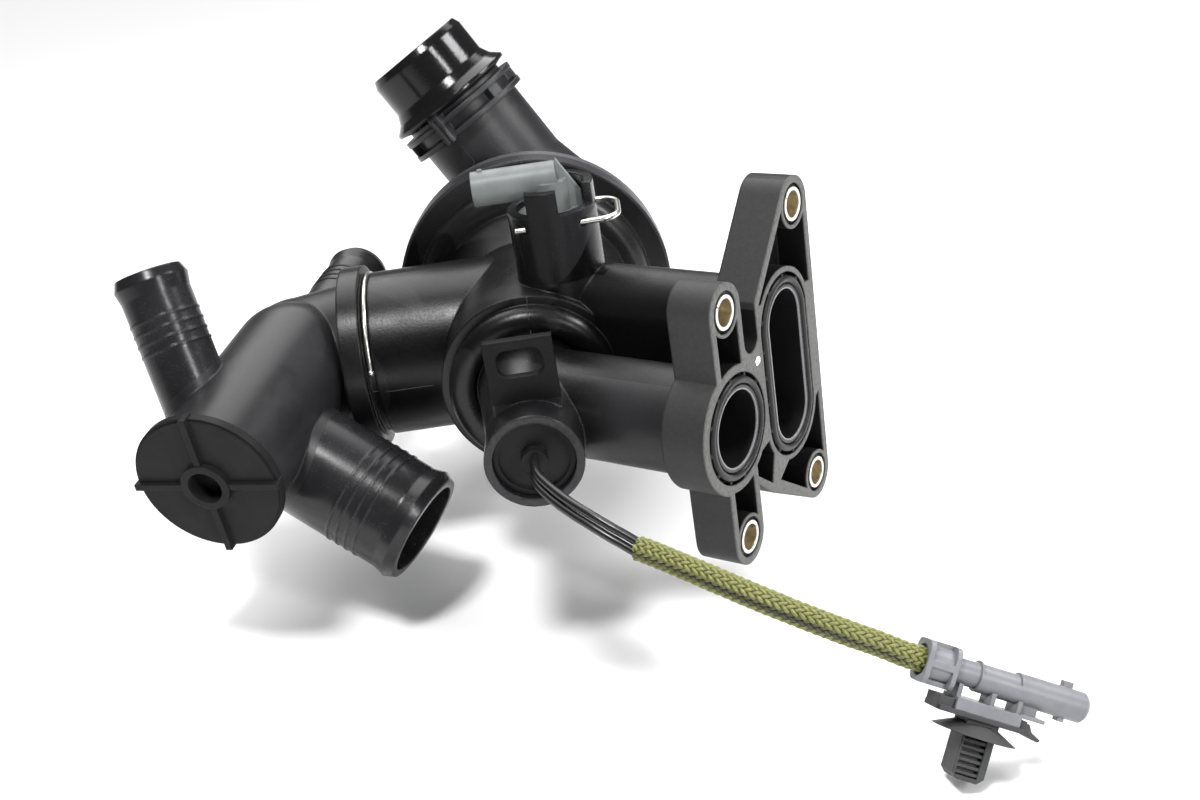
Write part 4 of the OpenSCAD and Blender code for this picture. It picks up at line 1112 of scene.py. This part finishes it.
class COOLANT_OT_valve_spring(bpy.types.Operator):
    """Puts a merged copy of the main spring, in spring wire, in its place."""

    bl_idname = "coolant.valve_spring"
    bl_label = "Valve spring"

    def execute(self, context):
        mesh = NODES["main_spring"].data.copy()
        mesh.name = "valve_spring"
        work = bmesh.new()
        work.from_mesh(mesh)
        bmesh.ops.remove_doubles(work, verts=work.verts, dist=0.001 * MM)
        work.to_mesh(mesh)
        work.free()
        mesh.materials.clear()
        mesh.materials.append(wire_metal("spring_wire"))
        spring = bpy.data.objects.new("valve_spring", mesh)
        context.scene.collection.objects.link(spring)
        axis = (body_matrix().to_3x3() @ Vector((0, 1, 0))).normalized()
        reach = [axis.dot(corner.co) for corner in mesh.vertices]
        middle = sum((corner.co for corner in mesh.vertices), Vector()) / len(mesh.vertices)
        anchor = middle + axis * (max(reach) - axis.dot(middle))
        keep = 1.0 - VALVE_STROKE / (max(reach) - min(reach))
        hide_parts("main_spring")
        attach(spring, HOUSING_BODY)
        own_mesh(spring)
        return {"FINISHED"}


class COOLANT_OT_seals(bpy.types.Operator):
    """Finishes the rubber rings and the valve's seal."""

    bl_idname = "coolant.seals"
    bl_label = "Rings and valve seal"

    def execute(self, context):
        dress(rubber_finish("seal_rubber_finish"),
              "distributor_o_ring", "sensor_o_ring", "plug_o_ring", "valve_seal")
        return {"FINISHED"}


def placed(name, data, matrix):
    """Puts a light in the scene."""
    lamp = bpy.data.objects.new(name, data)
    lamp.matrix_world = matrix
    bpy.context.scene.collection.objects.link(lamp)


def softbox(name, place, size, power):
    """A soft rectangular light that looks at the middle of the studio."""
    data = bpy.data.lights.new(name, "AREA")
    data.shape = "RECTANGLE"
    data.size, data.size_y = size
    data.energy = power
    aim = (Vector(STUDIO_MIDDLE) - Vector(place)).to_track_quat("-Z", "Y").to_matrix().to_4x4()
    placed(name, data, Matrix.Translation(place) @ aim)


def ceiling(strength):
    """One wide light from above and behind."""
    data = bpy.data.lights.new("ceiling", "SUN")
    data.energy = strength
    data.angle = math.radians(CEILING_SPREAD)
    placed("ceiling", data, Vector(CEILING_AIM).to_track_quat("Z", "Y").to_matrix().to_4x4())


class COOLANT_OT_stage(bpy.types.Operator):
    """Lays the floor and sets the studio light."""

    bl_idname = "coolant.stage"
    bl_label = "Stage"

    def execute(self, context):
        stage = context.scene.coolant_stage
        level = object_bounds()[0][2] - stage.floor_drop
        mesh = bpy.data.meshes.new("floor")
        corners = [(x * FLOOR_HALF, y * FLOOR_HALF, level) for x, y in ((-1, -1), (1, -1), (1, 1), (-1, 1))]
        mesh.from_pydata(corners, [], [(0, 1, 2, 3)])
        floor = bpy.data.objects.new("floor", mesh)
        context.scene.collection.objects.link(floor)
        mesh.materials.append(Paint("pale_floor").set(Base_Color=stage.floor_colour, Roughness=0.9))
        floor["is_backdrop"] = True
        world = bpy.data.worlds.new("studio_air")
        world.use_nodes = True
        air = world.node_tree.nodes["Background"]
        air.inputs["Color"].default_value = (1, 1, 1, 1)
        air.inputs["Strength"].default_value = stage.air_strength
        context.scene.world = world
        ceiling(stage.sky_strength)
        for name, place, size, share in SOFTBOXES:
            softbox(name, place, size, stage.soft_strength * share)
        context.scene.view_settings.view_transform = "Standard"
        return {"FINISHED"}


class COOLANT_PT_panel(bpy.types.Panel):
    """Lists what the housing's looks are made of."""

    bl_idname = "COOLANT_PT_panel"
    bl_label = "Coolant housing"
    bl_space_type = "VIEW_3D"
    bl_region_type = "UI"
    bl_category = "Coolant"

    def draw(self, context):
        for group in (getattr(context.scene, name) for name in GROUPS):
            box = self.layout.box()
            for name in group.__annotations__:
                box.prop(group, name)
        for operator in OPERATORS:
            self.layout.operator(operator.bl_idname)


GROUPS = {
    "coolant_lead": CoolantLead,
    "coolant_seals": CoolantSeals,
    "coolant_colours": CoolantColours,
    "coolant_stage": CoolantStage,
}
OPERATORS = (
    COOLANT_OT_camera, COOLANT_OT_lead, COOLANT_OT_face_seals, COOLANT_OT_mouldings,
    COOLANT_OT_parting_lines, COOLANT_OT_small_mouldings, COOLANT_OT_metal, COOLANT_OT_valve_spring,
    COOLANT_OT_seals, COOLANT_OT_stage,
)


def register():
    for name, group in GROUPS.items():
        bpy.utils.register_class(group)
        setattr(bpy.types.Scene, name, bpy.props.PointerProperty(type=group))
    for made in (*OPERATORS, COOLANT_PT_panel):
        bpy.utils.register_class(made)


def unregister():
    for made in reversed((*OPERATORS, COOLANT_PT_panel)):
        bpy.utils.unregister_class(made)
    for name, group in GROUPS.items():
        delattr(bpy.types.Scene, name)
        bpy.utils.unregister_class(group)


def main():
    register()
    bpy.ops.coolant.camera()
    bpy.ops.coolant.lead()
    bpy.ops.coolant.face_seals()
    bpy.ops.coolant.mouldings()
    bpy.ops.coolant.parting_lines()
    bpy.ops.coolant.small_mouldings()
    bpy.ops.coolant.metal()
    bpy.ops.coolant.valve_spring()
    bpy.ops.coolant.seals()
    bpy.ops.coolant.stage()


if __name__ == "__main__":
    main()
